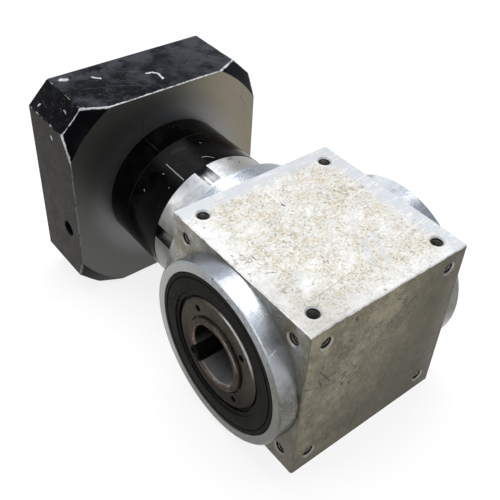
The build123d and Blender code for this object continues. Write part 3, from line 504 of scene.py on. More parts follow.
    flatRough = plus(0.42, times(cloud, 0.2))
    roughness = blend(boss, flatRough, ramp(rings, 0.3, 0.7, 0.24, 0.36))
    roughness = less(roughness, times(clean, 0.1))
    dull = most(times(middle, top), inHole)
    metal = times(ramp(dull, 0.0, 1.0, 0.85, 0.5), ramp(top, 0.0, 1.0, 1.0, 0.55))
    height = plus(times(grain, 0.5), times(grainFine, 0.3))
    height = blend(boss, height, rings)
    height = less(height, times(most(nick, scuff, bossScratch), 2.5))
    setShader(shader, {"Base Color": colour, "Roughness": roughness, "Metallic": metal}, height, 0.05)
    return finish


# Hollow shaft: browned steel with a copper-brown rim and a grey bore with brown, rusty clouds; painted
# shade low on the face and in the bore, painted highlight on the upper right edges

shaftFinish = {
    "brown": (0.060, 0.053, 0.041), "olive": (0.092, 0.088, 0.070), "dark": (0.012, 0.010, 0.008),
    "copper": (0.17, 0.115, 0.09), "rimBrown": (0.055, 0.042, 0.032), "rust": (0.050, 0.024, 0.013),
    "bright": (0.75, 0.74, 0.72), "boreGrey": (0.40, 0.40, 0.39), "rimOuter": 21.9,
    "boreRadius": 17.5, "rimHeight": 2.1, "chamfer": 18.45, "edgeRadius": 32.0,
}


def shaftMaterial():
    # browned turned steel: clouds of brown and olive, rust specks, bright wear on rim and outer edge kept
    # to the upper right as a painted highlight, painted shade low on the face and in the bore
    look = shaftFinish
    finish, shader, place = startFinish("shaftSteel")
    x, y, z = split(place)
    ax = calc("ABSOLUTE", x)
    radius = arrow("LENGTH", join(0.0, y, z))
    rings = use(turning, place, Pitch=0.28, Run=12.0)
    cloud = noise(place, 6.0, 5.0, 0.65)
    colour = tint(ramp(cloud, 0.35, 0.65), look["brown"], look["olive"])
    colour = tint(ramp(rings, 0.5, 0.75), colour, look["dark"], 0.5)
    # painted shade: the face darkens towards the bottom
    colour = tint(ramp(z, 12.0, -22.0, 0.0, 0.88), colour, look["dark"])
    onRim = ramp(ax, shaftRim - look["rimHeight"], shaftRim - look["rimHeight"] + 0.3)
    rim = times(ramp(radius, look["rimOuter"] + 0.2, look["rimOuter"]), onRim)
    chamfer = times(rim, ramp(radius, look["chamfer"], look["chamfer"] - 0.15))
    chamfer = times(chamfer, ramp(radius, look["boreRadius"], look["boreRadius"] + 0.06))
    patchy = noise(place, 4.0, 4.0, 0.6)
    rimColour = tint(ramp(patchy, 0.4, 0.7), look["rimBrown"], look["olive"])
    copper = tint(ramp(cloud, 0.46, 0.7, 0.0, 0.5), look["copper"], look["bright"])
    rimColour = tint(chamfer, rimColour, copper)
    colour = tint(rim, colour, rimColour)
    bore = ramp(radius, look["boreRadius"] + 0.25, look["boreRadius"] + 0.1)
    boreColour = tint(ramp(cloud, 0.45, 0.75, 0.0, 0.5), look["boreGrey"], look["brown"])
    # painted shade: the bore darkens at its top and deep inside
    boreColour = tint(ramp(z, -12.0, 0.0, 0.0, 0.97), boreColour, look["dark"])
    boreColour = tint(ramp(ax, 64.0, 46.0, 0.0, 0.97), boreColour, look["dark"])
    colour = tint(bore, colour, boreColour)
    rust = use(blotches, place, Size=3.2, Level=0.62, Soft=0.05)
    outside = less(1.0, times(bore, 0.85))
    colour = tint(times(rust, times(outside, 0.7)), colour, look["rust"])
    spot = use(specks, place, Spacing=1.6, Share=0.25)
    colour = tint(times(spot, times(outside, 0.6)), colour, look["dark"])
    outer = use(edgeWear, place, Distance=gap(radius, look["edgeRadius"]), Width=0.55, Uneven=0.5)
    rimEdge = use(edgeWear, place, Distance=gap(radius, look["rimOuter"] - 1.1), Width=0.45, Uneven=0.9)
    shaftEdge = times(outer, ramp(ax, shaftRim - 3.4, shaftRim - 2.6))
    # wear and painted highlight: the bright edges show only on the upper right
    around = calc("DIVIDE", plus(z, times(y, 0.4)), radius)
    upper = times(ramp(around, 0.6, 0.95, 0.03, 0.8), ramp(y, 0.0, 8.0, 0.1, 1.0))
    worn = times(most(shaftEdge, times(times(rimEdge, rim), 0.5)), upper)
    colour = tint(worn, colour, look["bright"])
    roughness = ramp(cloud, 0.3, 0.7, 0.3, 0.5)
    height = less(times(rings, 0.6), times(rust, 0.6))
    setShader(shader, {"Base Color": colour, "Roughness": roughness, "Metallic": 0.5,
                       "Specular IOR Level": 0.1, "Specular Tint": (0.35, 0.31, 0.28)}, height, 0.04)
    return finish


# Shaft seals: dark rubber with rings, hairlines and dust

sealFinish = {
    "rubber": (0.0125, 0.0122, 0.0106), "dusty": (0.0225, 0.0215, 0.0175),
    "black": (0.0012, 0.0012, 0.0012), "pale": (0.06, 0.058, 0.052),
    "hairlines": flatMarks("x", 67, [
        (-26.6, 33.7, -21.2, 30.1, 0.6), (-43.2, 7.6, -31.5, 13.4, 0.5), (29.7, -25.2, 26.0, -20.7, 0.6),
        (-33.5, 24.5, -28.5, 20.8, 0.5), (39.5, 10.5, 33.5, 9.0, 0.5), (-5.0, 44.0, -4.2, 37.5, 0.3),
        (10.0, -42.5, 8.8, -36.0, 0.34), (-36.0, -20.0, -31.0, -17.0, 0.3)]),
    "rings": (38.6, 44.6, 47.3), "markFace": 67.0,
}


def sealMaterial():
    # black rubber: dust clouds, faint moulded rings, dark hairlines across
    look = sealFinish
    finish, shader, place = startFinish("sealRubber")
    x, y, z = split(place)
    radius = arrow("LENGTH", join(0.0, y, z))
    cloud = noise(place, 8.0, 5.0, 0.65)
    colour = tint(ramp(cloud, 0.4, 0.7), look["rubber"], look["dusty"])
    lines = most(*[ramp(gap(radius, ring), 0.22, 0.08) for ring in look["rings"]])
    nearSide = join(times(calc("SIGN", x), look["markFace"]), y, z)
    hair = markSet(nearSide, look["hairlines"], 0.12)
    dark = most(times(lines, 0.8), hair)
    colour = tint(dark, colour, look["black"])
    dust = use(specks, place, Spacing=1.3, Share=0.16)
    colour = tint(dust, colour, look["pale"], 0.5)
    fine = use(scratches, place, Length=16.0, Gap=4.0, Fine=0.012, Amount=0.45)
    colour = tint(fine, colour, look["pale"], 0.4)
    height = less(times(noise(place, 0.5, 2.0), 0.4), times(dark, 2.0))
    setShader(shader, {"Base Color": colour, "Roughness": ramp(cloud, 0.3, 0.7, 0.42, 0.6),
                       "Specular IOR Level": 0.025}, height, 0.06)
    return finish


# Notched carrier: bright turned steel, greyer and darker on its lower left as painted shade

carrierFinish = {
    "bright": (0.66, 0.68, 0.70), "grey": (0.30, 0.30, 0.29), "dull": (0.10, 0.096, 0.086),
    "dark": (0.04, 0.037, 0.033), "pale": (0.9, 0.9, 0.9),
    "marks": [
        ((-10.4, -88.8, 43.9), (-7.0, -88.0, 44.6), 0.5),
        ((-12.5, -84.0, 43.4), (-11.5, -82.6, 43.7), 0.45),
        ((14.0, -78.0, 42.9), (15.5, -76.0, 42.4), 0.35)],
}


def carrierMaterial():
    # turned steel round the input axis: rings, bright and pale clouds, painted shade with ragged borders
    # that grows towards the lower left, few dark marks
    look = carrierFinish
    finish, shader, place = startFinish("carrierSteel")
    x, y, z = split(place)
    rings = use(turning, swapAxes(place), Pitch=0.3, Run=10.0)
    cloud = noise(place, 9.0, 4.0, 0.6)
    colour = tint(ramp(cloud, 0.36, 0.66), look["bright"], look["pale"])
    shadedLowSide = plus(z, times(cloud, 14.0))
    # painted shade: greyer towards -X, darker towards the lower side, back to grey at the very bottom
    colour = tint(ramp(plus(x, times(cloud, 12.0)), 12.0, -4.0), colour, look["grey"])
    colour = tint(ramp(shadedLowSide, 42.0, 32.0), colour, look["grey"])
    colour = tint(ramp(shadedLowSide, 34.0, 20.0), colour, look["dull"])
    colour = tint(ramp(shadedLowSide, 14.0, 2.0, 0.0, 0.5), colour, look["grey"])
    colour = tint(ramp(rings, 0.48, 0.72), colour, look["grey"], 0.4)
    marks = markSet(place, look["marks"], 0.5)
    fine = use(scratches, place, Length=14.0, Gap=4.0, Fine=0.012, Amount=0.5)
    colour = tint(fine, colour, look["dull"], 0.4)
    colour = tint(marks, colour, look["dark"])
    height = less(rings, times(marks, 2.0))
    setShader(shader, {"Base Color": colour, "Roughness": ramp(rings, 0.3, 0.7, 0.26, 0.4),
                       "Metallic": 0.95},
              height, 0.04)
    return finish


# Black tube in two lengths: glossy anodised, scratched, pale at the joint

tubeFinish = {
    "black": (0.0012, 0.0013, 0.0015), "worn": (0.005, 0.005, 0.0046), "brown": (0.016, 0.0145, 0.012),
    "bare": (0.42, 0.42, 0.41), "grey": (0.055, 0.055, 0.056),
    "scratches": [((22.3, -111.3, 39.3), (22.5, -92.4, 39.1), 0.42)],
    "chips": [
        ((37.3, -113.2, 25.3), (37.6, -112.2, 24.9), 0.42),
        ((27.1, -107.7, 36.1), (26.8, -107.0, 36.4), 0.4), ((4.8, -98.6, 44.9), (1.8, -97.2, 45.1), 0.3),
        ((1.8, -97.2, 45.1), (-0.5, -93.8, 45.1), 0.28),
        ((-3.0, -112.0, 45.0), (-3.4, -111.2, 45.0), 0.3),
        ((30.0, -97.0, 33.7), (30.2, -96.4, 33.6), 0.25)],
    "clouds": [((14.5, -115.5, 42.8), (8.5, -113.5, 44.3), 2.6),
               ((19.0, -105.0, 41.0), (17.0, -103.8, 41.8), 1.5)],
    "sheen": [((13.0, -140.0, 43.2), (17.0, -80.0, 41.8), 15.0)],
    "highlightStreak": [((19.3, -148.5, 40.8), (19.4, -124.1, 40.7), 0.35)],
}


def tubeMaterial():
    # black gloss: brownish lower down, pale lines at its ends, scratches, chips and faint clouds
    look = tubeFinish
    finish, shader, place = startFinish("tubeBlack")
    x, y, z = split(place)
    cloud = noise(place, 12.0, 4.0, 0.6)
    colour = tint(ramp(cloud, 0.42, 0.7), look["black"], look["worn"])
    colour = tint(ramp(z, 8.0, -20.0), colour, look["brown"])
    haze = times(markSet(place, look["clouds"], 3.5), 0.22)
    colour = tint(haze, colour, look["grey"])
    along = times(y, -1.0)
    glow = times(markSet(place, look["sheen"], 9.0), ramp(along, tubeJoint + 0.2, tubeJoint, 0.0, 0.3))
    colour = tint(glow, colour, look["grey"])
    ends = most(*[use(edgeWear, place, Distance=gap(along, end), Width=0.5, Uneven=0.55)
                  for end in (carrierFace, tubeJoint, adapterFace)])
    colour = tint(ends, colour, look["grey"], 0.3)
    fine = use(scratches, place, Length=22.0, Gap=6.0, Fine=0.007, Amount=0.42)
    colour = tint(fine, colour, look["grey"], 0.25)
    # painted highlight: a thin pale line along the first length
    highlightStreak = times(markSet(place, look["highlightStreak"], 0.2), 0.35)
    colour = tint(highlightStreak, colour, look["grey"])
    bare = most(markSet(place, look["scratches"], 0.25), markSet(place, look["chips"], 0.4))
    colour = tint(bare, colour, look["bare"])
    metal = times(bare, 0.8)
    roughness = plus(ramp(cloud, 0.35, 0.7, 0.12, 0.24), times(most(fine, haze, bare), 0.2))
    height = less(times(cloud, 0.2), times(most(bare, times(fine, 0.2)), 1.0))
    setShader(shader, {"Base Color": colour, "Roughness": roughness, "Metallic": metal,
                       "Specular IOR Level": 0.022}, height, 0.05)
    return finish


# Motor adapter: worn black anodised block with a bare turned front face

adapterFinish = {
    "black": (0.0048, 0.0058, 0.0085), "worn": (0.056, 0.061, 0.074), "brown": (0.021, 0.0165, 0.0095),
    "bare": (0.72, 0.73, 0.74), "disc": (0.125, 0.125, 0.113), "discDark": (0.055, 0.056, 0.057),
    "discNearLight": (0.30, 0.305, 0.32), "discLitSide": (0.27, 0.245, 0.185), "grey": (0.10, 0.105, 0.115),
    "coneBlack": (0.0022, 0.0022, 0.0026), "discRadius": 80.5, "cornerCut": 14.0, "coneSlope": 0.86,
    "chips": [
        ((49.5, -185.0, 70), (46.8, -183.6, 70), 2.2), ((32.0, -177.6, 70), (28.6, -174.0, 70), 1.0),
        ((1.0, -163.9, 70), (-2.6, -163.2, 70), 0.95), ((-2.6, -163.2, 70), (-4.8, -159.8, 70), 1.0),
        ((-4.8, -159.8, 70), (-3.9, -153.0, 70), 0.95), ((70, -163.8, 47.6), (70, -163.2, 46.6), 0.9),
        ((67.0, -183.0, 58.6), (66.0, -182.0, 59.6), 0.8),
        ((61.0, -160.0, 64.8), (61.6, -157.0, 64.2), 0.4)],
    "faint": [
        ((30.0, -165.0, 70), (8.0, -150.0, 70), 0.28), ((20.0, -178.0, 70), (2.0, -168.0, 70), 0.22),
        ((-38.0, -176.0, 70), (-48.0, -158.0, 70), 0.25),
        ((-20.0, -184.0, 70), (-42.0, -171.0, 70), 0.2), ((15.5, -162.1, 70), (12.0, -154.0, 70), 0.25),
        ((-41.1, -165.1, 70), (-43.8, -152.2, 70), 0.25), ((70, -168.7, -14.2), (70, -155.6, -3.8), 0.3),
        ((70, -155.6, -3.8), (70, -151.0, -12.0), 0.3), ((44.0, -168.0, 70), (20.0, -158.0, 70), 0.2),
        ((-14.0, -158.0, 70), (-36.0, -150.0, 70), 0.2)],
    "discScratches": flatMarks("y", -141.4, [
        (-57.2, 46.6, -62.9, 37.0, 0.3), (-60.0, 52.0, -58.0, 44.0, 0.25), (30.0, 55.0, 24.0, 48.0, 0.2),
        (19.5, 56.0, 19.4, 46.5, 0.45)]),
}


def adapterMaterial():
    # black block with worn edges and chips; front disc bare, ringed, darker next to the tube
    look = adapterFinish
    finish, shader, place = startFinish("adapterMetal")
    x, y, z = split(place)
    ax, az = calc("ABSOLUTE", x), calc("ABSOLUTE", z)
    along = times(y, -1.0)
    radius = arrow("LENGTH", join(x, 0.0, z))
    front = times(ramp(along, adapterFace + 0.3, adapterFace + 0.15),
                  ramp(radius, look["discRadius"] + 0.1, look["discRadius"] - 0.1))
    cloud = noise(place, 14.0, 5.0, 0.62)
    fine = use(scratches, place, Length=20.0, Gap=3.5, Fine=0.014, Amount=0.52)
    smoke = most(ramp(cloud, 0.46, 0.72),
                 times(ramp(along, adapterBack - 26.0, adapterBack - 4.0), ramp(cloud, 0.36, 0.56)))
    smoke = most(smoke, times(ramp(x, 6.0, -46.0, 0.0, 0.9), ramp(cloud, 0.30, 0.55)))
    colour = tint(smoke, look["black"], look["worn"])
    sideways = ramp(ax, adapterHalf - 0.5, adapterHalf - 0.2)
    colour = tint(sideways, colour, look["brown"])
    flat = plus(ax, az)
    cornerSum = 2 * adapterHalf - look["cornerCut"]
    corner = ramp(flat, cornerSum - 0.6, cornerSum - 0.2)
    sloped = times(ramp(radius, look["discRadius"] + 0.05, look["discRadius"] + 0.25),
                   ramp(along, adapterBack - 30.0, adapterBack - 40.0))
    onFlat = most(ramp(ax, adapterHalf - 0.5, adapterHalf - 0.3),
                  ramp(az, adapterHalf - 0.5, adapterHalf - 0.3), corner)
    cone = times(sloped, less(1.0, onFlat))
    colour = tint(most(cone, times(corner, ramp(x, 20.0, 40.0))), colour, look["coneBlack"], 0.85)
    fine = times(fine, less(1.0, cone))
    colour = tint(fine, colour, look["grey"], 0.4)
    colour = tint(markSet(place, look["faint"], 0.4), colour, look["grey"], 0.75)
    spots = use(specks, place, Spacing=3.2, Share=0.12)
    colour = tint(less(spots, cone, clamp=True), colour, look["grey"], 0.3)

    # edges: front edge round the disc, vertical edges of the block, back edge
    toTop = less(adapterHalf, most(ax, az))
    toFront = less(along, adapterFace)
    frontEdge = most(toTop, toFront)
    coneGap = gap(less(along, adapterFace), times(less(radius, look["discRadius"]), look["coneSlope"]))
    coneEdge = most(toTop, coneGap)
    cornerGap = gap(flat, cornerSum)
    cornerEdge = most(toTop, times(cornerGap, 0.7))
    cornerCone = most(times(cornerGap, 0.7), coneGap)
    backEdge = most(toTop, less(adapterBack, along))
    strong = use(edgeWear, place, Distance=least(frontEdge, coneEdge), Width=0.95, Uneven=1.5)
    strong = times(strong, ramp(noise(place, 5.0, 5.0, 0.75), 0.36, 0.48, 0.3, 1.0))
    weak = use(edgeWear, place, Distance=least(cornerEdge, backEdge, cornerCone), Width=0.25, Uneven=1.0)
    upper = ramp(z, 20.0, 66.0, 0.3, 1.0)
    bare = most(times(strong, upper), times(weak, 0.7), markSet(place, look["chips"], 3.6))
    colour = tint(bare, colour, look["bare"])

    # bare turned disc: painted light makes it paler towards -X and round the tube, painted shade darkens it
    # near the tube on its +X side, with darker clouds all over
    rings = use(turning, swapAxes(place), Pitch=0.42, Run=16.0)
    discCloud = noise(place, 30.0, 3.0, 0.5)
    # painted light: paler towards -X
    discColour = tint(ramp(x, 0.0, -46.0), look["disc"], look["discLitSide"])
    shade = times(ramp(radius, 70.0, 47.0), ramp(plus(x, times(z, 0.4)), -52.0, 12.0))
    shade = plus(shade, times(less(discCloud, 0.5), 0.4), clamp=True)
    discColour = tint(shade, discColour, look["discDark"], 0.62)
    # painted light: lighter next to the tube
    discColour = tint(ramp(radius, 66.0, 47.0, 0.0, 0.55), discColour, look["discNearLight"])
    discColour = tint(ramp(rings, 0.45, 0.72), discColour, look["discDark"], 0.2)
    discColour = tint(markSet(place, look["discScratches"], 0.3), discColour, look["discDark"], 0.55)
    colour = tint(front, colour, discColour)

    metal = most(times(front, 0.8), times(bare, 0.85))
    blackRough = plus(ramp(cloud, 0.35, 0.7, 0.2, 0.36), times(most(bare, fine), 0.15))
    roughness = blend(front, blackRough, 0.4)
    height = less(times(cloud, 0.3), times(most(bare, times(fine, 0.25)), 1.2))
    height = blend(front, height, times(rings, 0.5))
    setShader(shader, {"Base Color": colour, "Roughness": roughness, "Metallic": metal,
                       "Specular IOR Level": 0.025}, height, 0.06)
    return finish


# Plain finishes of the inner parts: base and second colour, metal, roughness, axis of the rings

innerFinishes = {
    "gearSteel": ((0.36, 0.35, 0.33), (0.22, 0.21, 0.19), 1.0, (0.24, 0.4), "x"),
    "pinionSteel": ((0.36, 0.35, 0.33), (0.22, 0.21, 0.19), 1.0, (0.24, 0.4), "y"),
    "bearingSteel": ((0.62, 0.62, 0.62), (0.48, 0.48, 0.47), 1.0, (0.12, 0.24), "x"),
    "bearingSteelY": ((0.62, 0.62, 0.62), (0.48, 0.48, 0.47), 1.0, (0.12, 0.24), "y"),
    "cageSteel": ((0.44, 0.44, 0.43), (0.34, 0.33, 0.31), 1.0, (0.3, 0.46), "x"),
    "springSteel": ((0.12, 0.115, 0.11), (0.07, 0.066, 0.06), 0.9, (0.32, 0.5), "x"),
    "screwBlack": ((0.028, 0.028, 0.029), (0.055, 0.052, 0.048), 0.8, (0.3, 0.46), "y"),
    "hubAluminium": ((0.66, 0.67, 0.68), (0.52, 0.52, 0.51), 1.0, (0.24, 0.4), "y"),
    "spiderRed": ((0.36, 0.028, 0.02), (0.24, 0.018, 0.014), 0.0, (0.4, 0.56), "y"),
    "ringRubber": ((0.014, 0.014, 0.014), (0.026, 0.025, 0.024), 0.0, (0.4, 0.56), "y"),
}


def innerMaterial(name, base, second, metal, rough, axis):
    # two tones in clouds, turning rings round the part's own axis, fine scratches
    finish, shader, place = startFinish(name)
    axial = place if axis == "x" else swapAxes(place)
    rings = use(turning, axial, Pitch=0.25, Run=10.0)
    cloud = use(blotches, place, Size=7.0, Level=0.52, Soft=0.16)
    colour = tint(cloud, base, second)
    fine = use(scratches, place, Length=12.0, Gap=3.0, Fine=0.014, Amount=0.5)
    bright = tuple(min(1.0, value * 1.6) for value in base)
    colour = tint(fine, colour, bright, 0.25)
    colour = tint(ramp(rings, 0.5, 0.75), colour, second, 0.3)
    setShader(shader, {"Base Color": colour, "Roughness": ramp(rings, 0.3, 0.7, *rough),
                       "Metallic": metal}, rings, 0.03)
    return finish


# Threads of the tapped holes: bright crests in the housing and the adapter, dark ones in the shaft as
# painted shade

threadFinishes = {
    "threadBright": {"crest": (0.86, 0.85, 0.80), "root": (0.04, 0.036, 0.032)},
    # painted shade: dark crests so the shaft's holes look black
    "threadDark": {"crest": (0.022, 0.019, 0.016), "root": (0.006, 0.005, 0.004)},
}


def threadMaterial(name, look):
    # crest or root by the stored height of the thread, dirtied by clouds
    finish, shader, place = startFinish(name)
    height = put("ShaderNodeAttribute", attribute_name="rise").outputs["Fac"]
    cloud = noise(place, 1.5, 4.0, 0.6)
    colour = tint(times(ramp(height, 0.25, 0.8), ramp(cloud, 0.2, 0.45)), look["root"], look["crest"])
    setShader(shader, {"Base Color": colour, "Roughness": ramp(cloud, 0.3, 0.7, 0.3, 0.5),
                       "Metallic": 0.85},
              cloud, 0.04)
    return finish


finishes = {name: innerMaterial(name, *row) for name, row in innerFinishes.items()}
finishes.update({"housing": housingMaterial(), "shaft": shaftMaterial(), "seal": sealMaterial(),
                 "carrier": carrierMaterial(), "tube": tubeMaterial(), "adapter": adapterMaterial()})
finishes.update({name: threadMaterial(name, look) for name, look in threadFinishes.items()})
print("finishes ready:", len(finishes))

finishParts = {
    "housing": ("gear_housing",),
    "shaft": ("hollow_shaft", "far_sleeve"),
    "seal": ("near_shaft_seal", "far_shaft_seal"),
    "ringRubber": ("input_seal", "carrier_o_ring"),
    "carrier": ("bearing_carrier",),
    "tube": ("coupling_housing", "adapter_ring"),
    "adapter": ("motor_adapter",),
    "gearSteel": ("bevel_wheel",),
    "pinionSteel": ("pinion_shaft",),
    "springSteel": ("bearing_shims", "bore_retaining_rings", "lock_washer"),
    "screwBlack": ("lock_nut",),
    "hubAluminium": ("pinion_hub", "motor_hub"),
    "spiderRed": ("coupling_spider",),
    "bearingSteelY": ("seal_sleeve",),
    "bearingSteel": ("wheel_dowels",),
}
partFinish = {name: finish for finish, names in finishParts.items() for name in names}


def finishOf(name):
    if name in partFinish:
        return finishes[partFinish[name]]
    if "screw" in name:
        return finishes["screwBlack"]
    if "cage" in name:
        return finishes["cageSteel"]
    return finishes["bearingSteelY" if name.startswith(("head", "tail")) else "bearingSteel"]


for name, part in parts.items():
    for slot in range(len(part.data.materials)):
        part.data.materials[slot] = finishOf(name)


# Threads in the tapped holes

threadSettings = {
    "around": 36, "perPitch": 4, "crestInset": 0.36, "fullRadius": 3.4, "wallGap": 0.01, "rootGap": 0.02,
    "corner": {"radius": 3.4, "pitch": 1.25, "start": 1.05, "end": 7.7},
    "shaftEnd": {"radius": 2.1, "pitch": 0.8, "start": 0.1, "end": 11.8},
    "motor": {"radius": 3.4, "pitch": 1.25, "start": 1.05, "end": 21.8},
}
holeRings = {
    "shaftEnd": {"circle": 53.0, "start": 218.0, "count": 4},
    "motor": {"circle": 145.0, "start": 45.0, "count": 4},
}


def threadSurface(size, origins, directions):
    # closed sleeve: inner radius = wall radius less a triangle wave of (depth / pitch - angle / full turn);
    # its outer side lies just inside the hole's wall
    settings = threadSettings
    around = settings["around"]
    rows = int(round((size["end"] - size["start"]) / size["pitch"] * settings["perPitch"]))
    depth = np.linspace(size["start"], size["end"], rows + 1)
    angle = np.arange(around) * 2 * np.pi / around
    turnGrid, depthGrid = np.meshgrid(angle, depth, indexing="ij")
    phase = (depthGrid / size["pitch"] - turnGrid / (2 * np.pi)) % 1.0
    wave = 1 - np.abs(2 * phase - 1)
    toEnd = np.minimum(depthGrid - size["start"], size["end"] - depthGrid)
    fade = np.clip(toEnd / (0.5 * size["pitch"]), 0, 1)
    outerRadius = size["radius"] - settings["wallGap"]
    rise = wave * fade
    crest = settings["crestInset"] * size["radius"] / settings["fullRadius"]
    inner = outerRadius - settings["rootGap"] - crest * rise
    outerDepth = np.tile(np.array([size["end"], size["start"]]), (around, 1))
    allDepth = np.concatenate([depthGrid, outerDepth], axis=1)
    allRadius = np.concatenate([inner, np.full((around, 2), outerRadius)], axis=1)
    allTurn = np.tile(angle[:, None], (1, rows + 3))
    allRise = np.concatenate([rise, np.zeros((around, 2))], axis=1)
    columns = rows + 3
    first, second = np.meshgrid(np.arange(around), np.arange(columns), indexing="ij")
    nextFirst, nextSecond = (first + 1) % around, (second + 1) % columns
    quads = np.stack([first * columns + second, nextFirst * columns + second,
                      nextFirst * columns + nextSecond, first * columns + nextSecond],
                     axis=-1).reshape(-1,
                                      4)
    points, faces, rises = [], [], []
    for origin, direction in zip(origins, directions):
        inward = -np.array(direction, float)
        side = np.roll(np.abs(inward), 1)
        other = np.cross(inward, side)
        ring = side * np.cos(allTurn)[..., None] + other * np.sin(allTurn)[..., None]
        place = np.array(origin, float) + inward * allDepth[..., None] + ring * allRadius[..., None]
        faces.append(quads + len(points) * around * columns)
        points.append(place.reshape(-1, 3))
        rises.append(allRise.ravel())
    return np.concatenate(points) * mm, np.concatenate(faces), np.concatenate(rises)


def makePiece(name, points, faces, rises, finish, body, slotName):
    mesh = bpy.data.meshes.new(name)
    mesh.from_pydata(points.tolist(), [], faces.tolist())
    mesh.polygons.foreach_set("use_smooth", np.ones(len(faces), bool))
    mesh.attributes.new("rise", "FLOAT", "POINT").data.foreach_set("value", rises.astype(np.float32))
    mesh.materials.append(finish)
    mesh.update()
    piece = bpy.data.objects.new(name, mesh)
    scene.collection.objects.link(piece)
    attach(piece, body)


def cornerHoles():
    # mouth centre and outward direction of the four holes in each face of the cube
    inset = cubeHalf - housingFinish["holeInset"]
    origins, directions = [], []
    for axis in range(3):
        for sign in (-1, 1):
            for first in (-inset, inset):
                for second in (-inset, inset):
                    place, outward = [first, second], [0.0, 0.0]
                    place.insert(axis, sign * cubeHalf)
                    outward.insert(axis, float(sign))
                    origins.append(place)
                    directions.append(outward)
    return origins, directions


def ringHoles(axis, face, sign, circle, start, count):
    # mouth centres of holes on a circle round the X or the input axis, angle counted as in the part
    origins, directions = [], []
    for index in range(count):
        angle = math.radians(start + index * 360.0 / count)
        first, second = circle / 2 * math.cos(angle), circle / 2 * math.sin(angle)
        origins.append([face, first, second] if axis == "x" else [first, face, second])
        directions.append([sign, 0.0, 0.0] if axis == "x" else [0.0, sign, 0.0])
    return origins, directions


shaftFace = shaftRim - shaftFinish["rimHeight"]
nearEnd = ringHoles("x", shaftFace, 1.0, **holeRings["shaftEnd"])
farEnd = ringHoles("x", -shaftFace, -1.0, **holeRings["shaftEnd"])
motorEnd = ringHoles("y", -adapterBack, -1.0, **holeRings["motor"])
threadSets = {
    "corner_hole_threads": ("corner", *cornerHoles(), "case", "housing", "threadBright"),
    "shaft_end_threads": ("shaftEnd", nearEnd[0] + farEnd[0], nearEnd[1] + farEnd[1], "output",
                          "shaft_steel",
                          "threadDark"),
    "motor_hole_threads": ("motor", *motorEnd, "case", "adapter_anodised", "threadBright"),
}
for name, (size, origins, directions, body, slotName, look) in threadSets.items():
    surface = threadSurface(threadSettings[size], origins, directions)
    makePiece(name, *surface, finishes[look], body, slotName)
print("threads ready")


# Floor, light and camera

stageSettings = {
    "floorSize": 8.0, "floorColour": (0.30, 0.30, 0.30),
    "seenLift": 0.82, "restFront": (0.0, 55.0, -55.0), "restBack": (0.0, -141.4, -70.0),
    "worldLevel": 0.30, "worldColour": (0.93, 0.96, 1.0), "seenTop": (0.42, 0.46, 0.52),
    "lamps": {
        "overheadBox": {"place": (-0.16, -0.22, 0.95), "aim": (0.0, -0.04, 0.0), "size": 0.9,
                        "power": 7.6,
                        "colour": (1.0, 0.99, 0.97)},
        "leftBox": {"place": (0.75, -0.35, 0.45), "aim": (0.0, -0.06, 0.0), "size": 0.5, "power": 1.0,
                    "colour": (0.95, 0.97, 1.0)},
    },
}


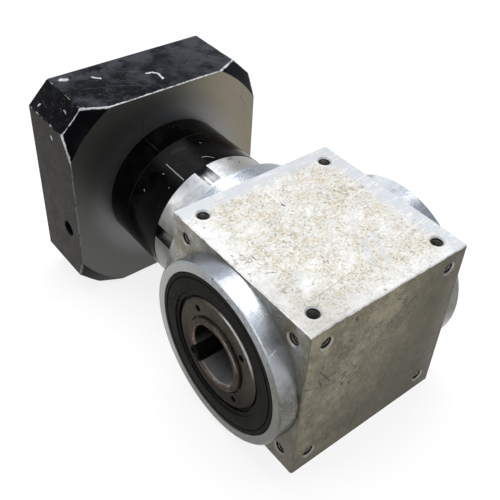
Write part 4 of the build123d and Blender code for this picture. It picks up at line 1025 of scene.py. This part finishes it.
def makeFloor():
    # a square that touches the lowest edge of the cube and that of the adapter
    settings = stageSettings
    front, back = np.array(settings["restFront"]), np.array(settings["restBack"])
    along = (front - back) / np.linalg.norm(front - back)
    middle, half = (front + back) / 2 * mm, settings["floorSize"] / 2
    side = np.array([1.0, 0.0, 0.0])
    corners = [middle + side * a * half + along * b * half for a,
               b in ((-1, -1), (1, -1), (1, 1), (-1, 1))]
    mesh = bpy.data.meshes.new("floor")
    mesh.from_pydata([list(corner) for corner in corners], [], [(0, 1, 2, 3)])
    floor = bpy.data.objects.new("floor", mesh)
    scene.collection.objects.link(floor)
    finish = bpy.data.materials.new("floorPale")
    openTree(finish)
    diffuse = put("ShaderNodeBsdfDiffuse", {"Color": settings["floorColour"]})
    lift = put("ShaderNodeEmission", {"Strength": times(seenRays(), settings["seenLift"])})
    both = put("ShaderNodeAddShader", {0: diffuse.outputs[0], 1: lift.outputs[0]})
    put("ShaderNodeOutputMaterial", {"Surface": both.outputs[0]})
    mesh.materials.append(finish)


def seenRays():
    # 1 for rays that show the background: straight, mirrored or through glass
    path = put("ShaderNodeLightPath").outputs
    return most(path["Is Camera Ray"], path["Is Glossy Ray"], path["Is Transmission Ray"])


def makeWorld():
    # plain light for the surfaces; seen or mirrored it is white at the horizon and greyer overhead
    settings = stageSettings
    world = bpy.data.worlds.new("studio")
    scene.world = world
    openTree(world)
    height = split(put("ShaderNodeTexCoord").outputs["Generated"])[2]
    shown = tint(ramp(height, 0.3, 0.75), (1.0, 1.0, 1.0), settings["seenTop"])
    plain = tuple(value * settings["worldLevel"] for value in settings["worldColour"])
    colour = tint(seenRays(), plain, shown)
    background = put("ShaderNodeBackground", {"Color": colour, "Strength": 1.0})
    put("ShaderNodeOutputWorld", {"Surface": background.outputs[0]})


def makeLamps():
    for name, lamp in stageSettings["lamps"].items():
        light = bpy.data.lights.new(name, "AREA")
        light.shape, light.size = "SQUARE", lamp["size"]
        light.energy, light.color = lamp["power"], lamp["colour"]
        holder = bpy.data.objects.new(name, light)
        holder.location = lamp["place"]
        aim = Vector(lamp["aim"]) - Vector(lamp["place"])
        holder.rotation_euler = aim.to_track_quat("-Z", "Y").to_euler()
        scene.collection.objects.link(holder)


cameraSettings = {"place": (0.2267, 0.2078, 0.3081), "turn": (49.425, -3.688, 140.636),
                  "lens": 54.56, "sensor": 36.0, "shift": (-0.0357, -0.0290)}


def makeCamera():
    data = bpy.data.cameras.new("photoCamera")
    data.lens, data.sensor_width = cameraSettings["lens"], cameraSettings["sensor"]
    data.shift_x, data.shift_y = cameraSettings["shift"]
    data.clip_start, data.clip_end = 0.01, 50.0
    camera = bpy.data.objects.new("photoCamera", data)
    camera.location = cameraSettings["place"]
    camera.rotation_euler = [math.radians(value) for value in cameraSettings["turn"]]
    scene.collection.objects.link(camera)
    scene.camera = camera


makeFloor()
makeWorld()
makeLamps()
makeCamera()
scene.view_settings.view_transform = "Standard"
print("stage ready")
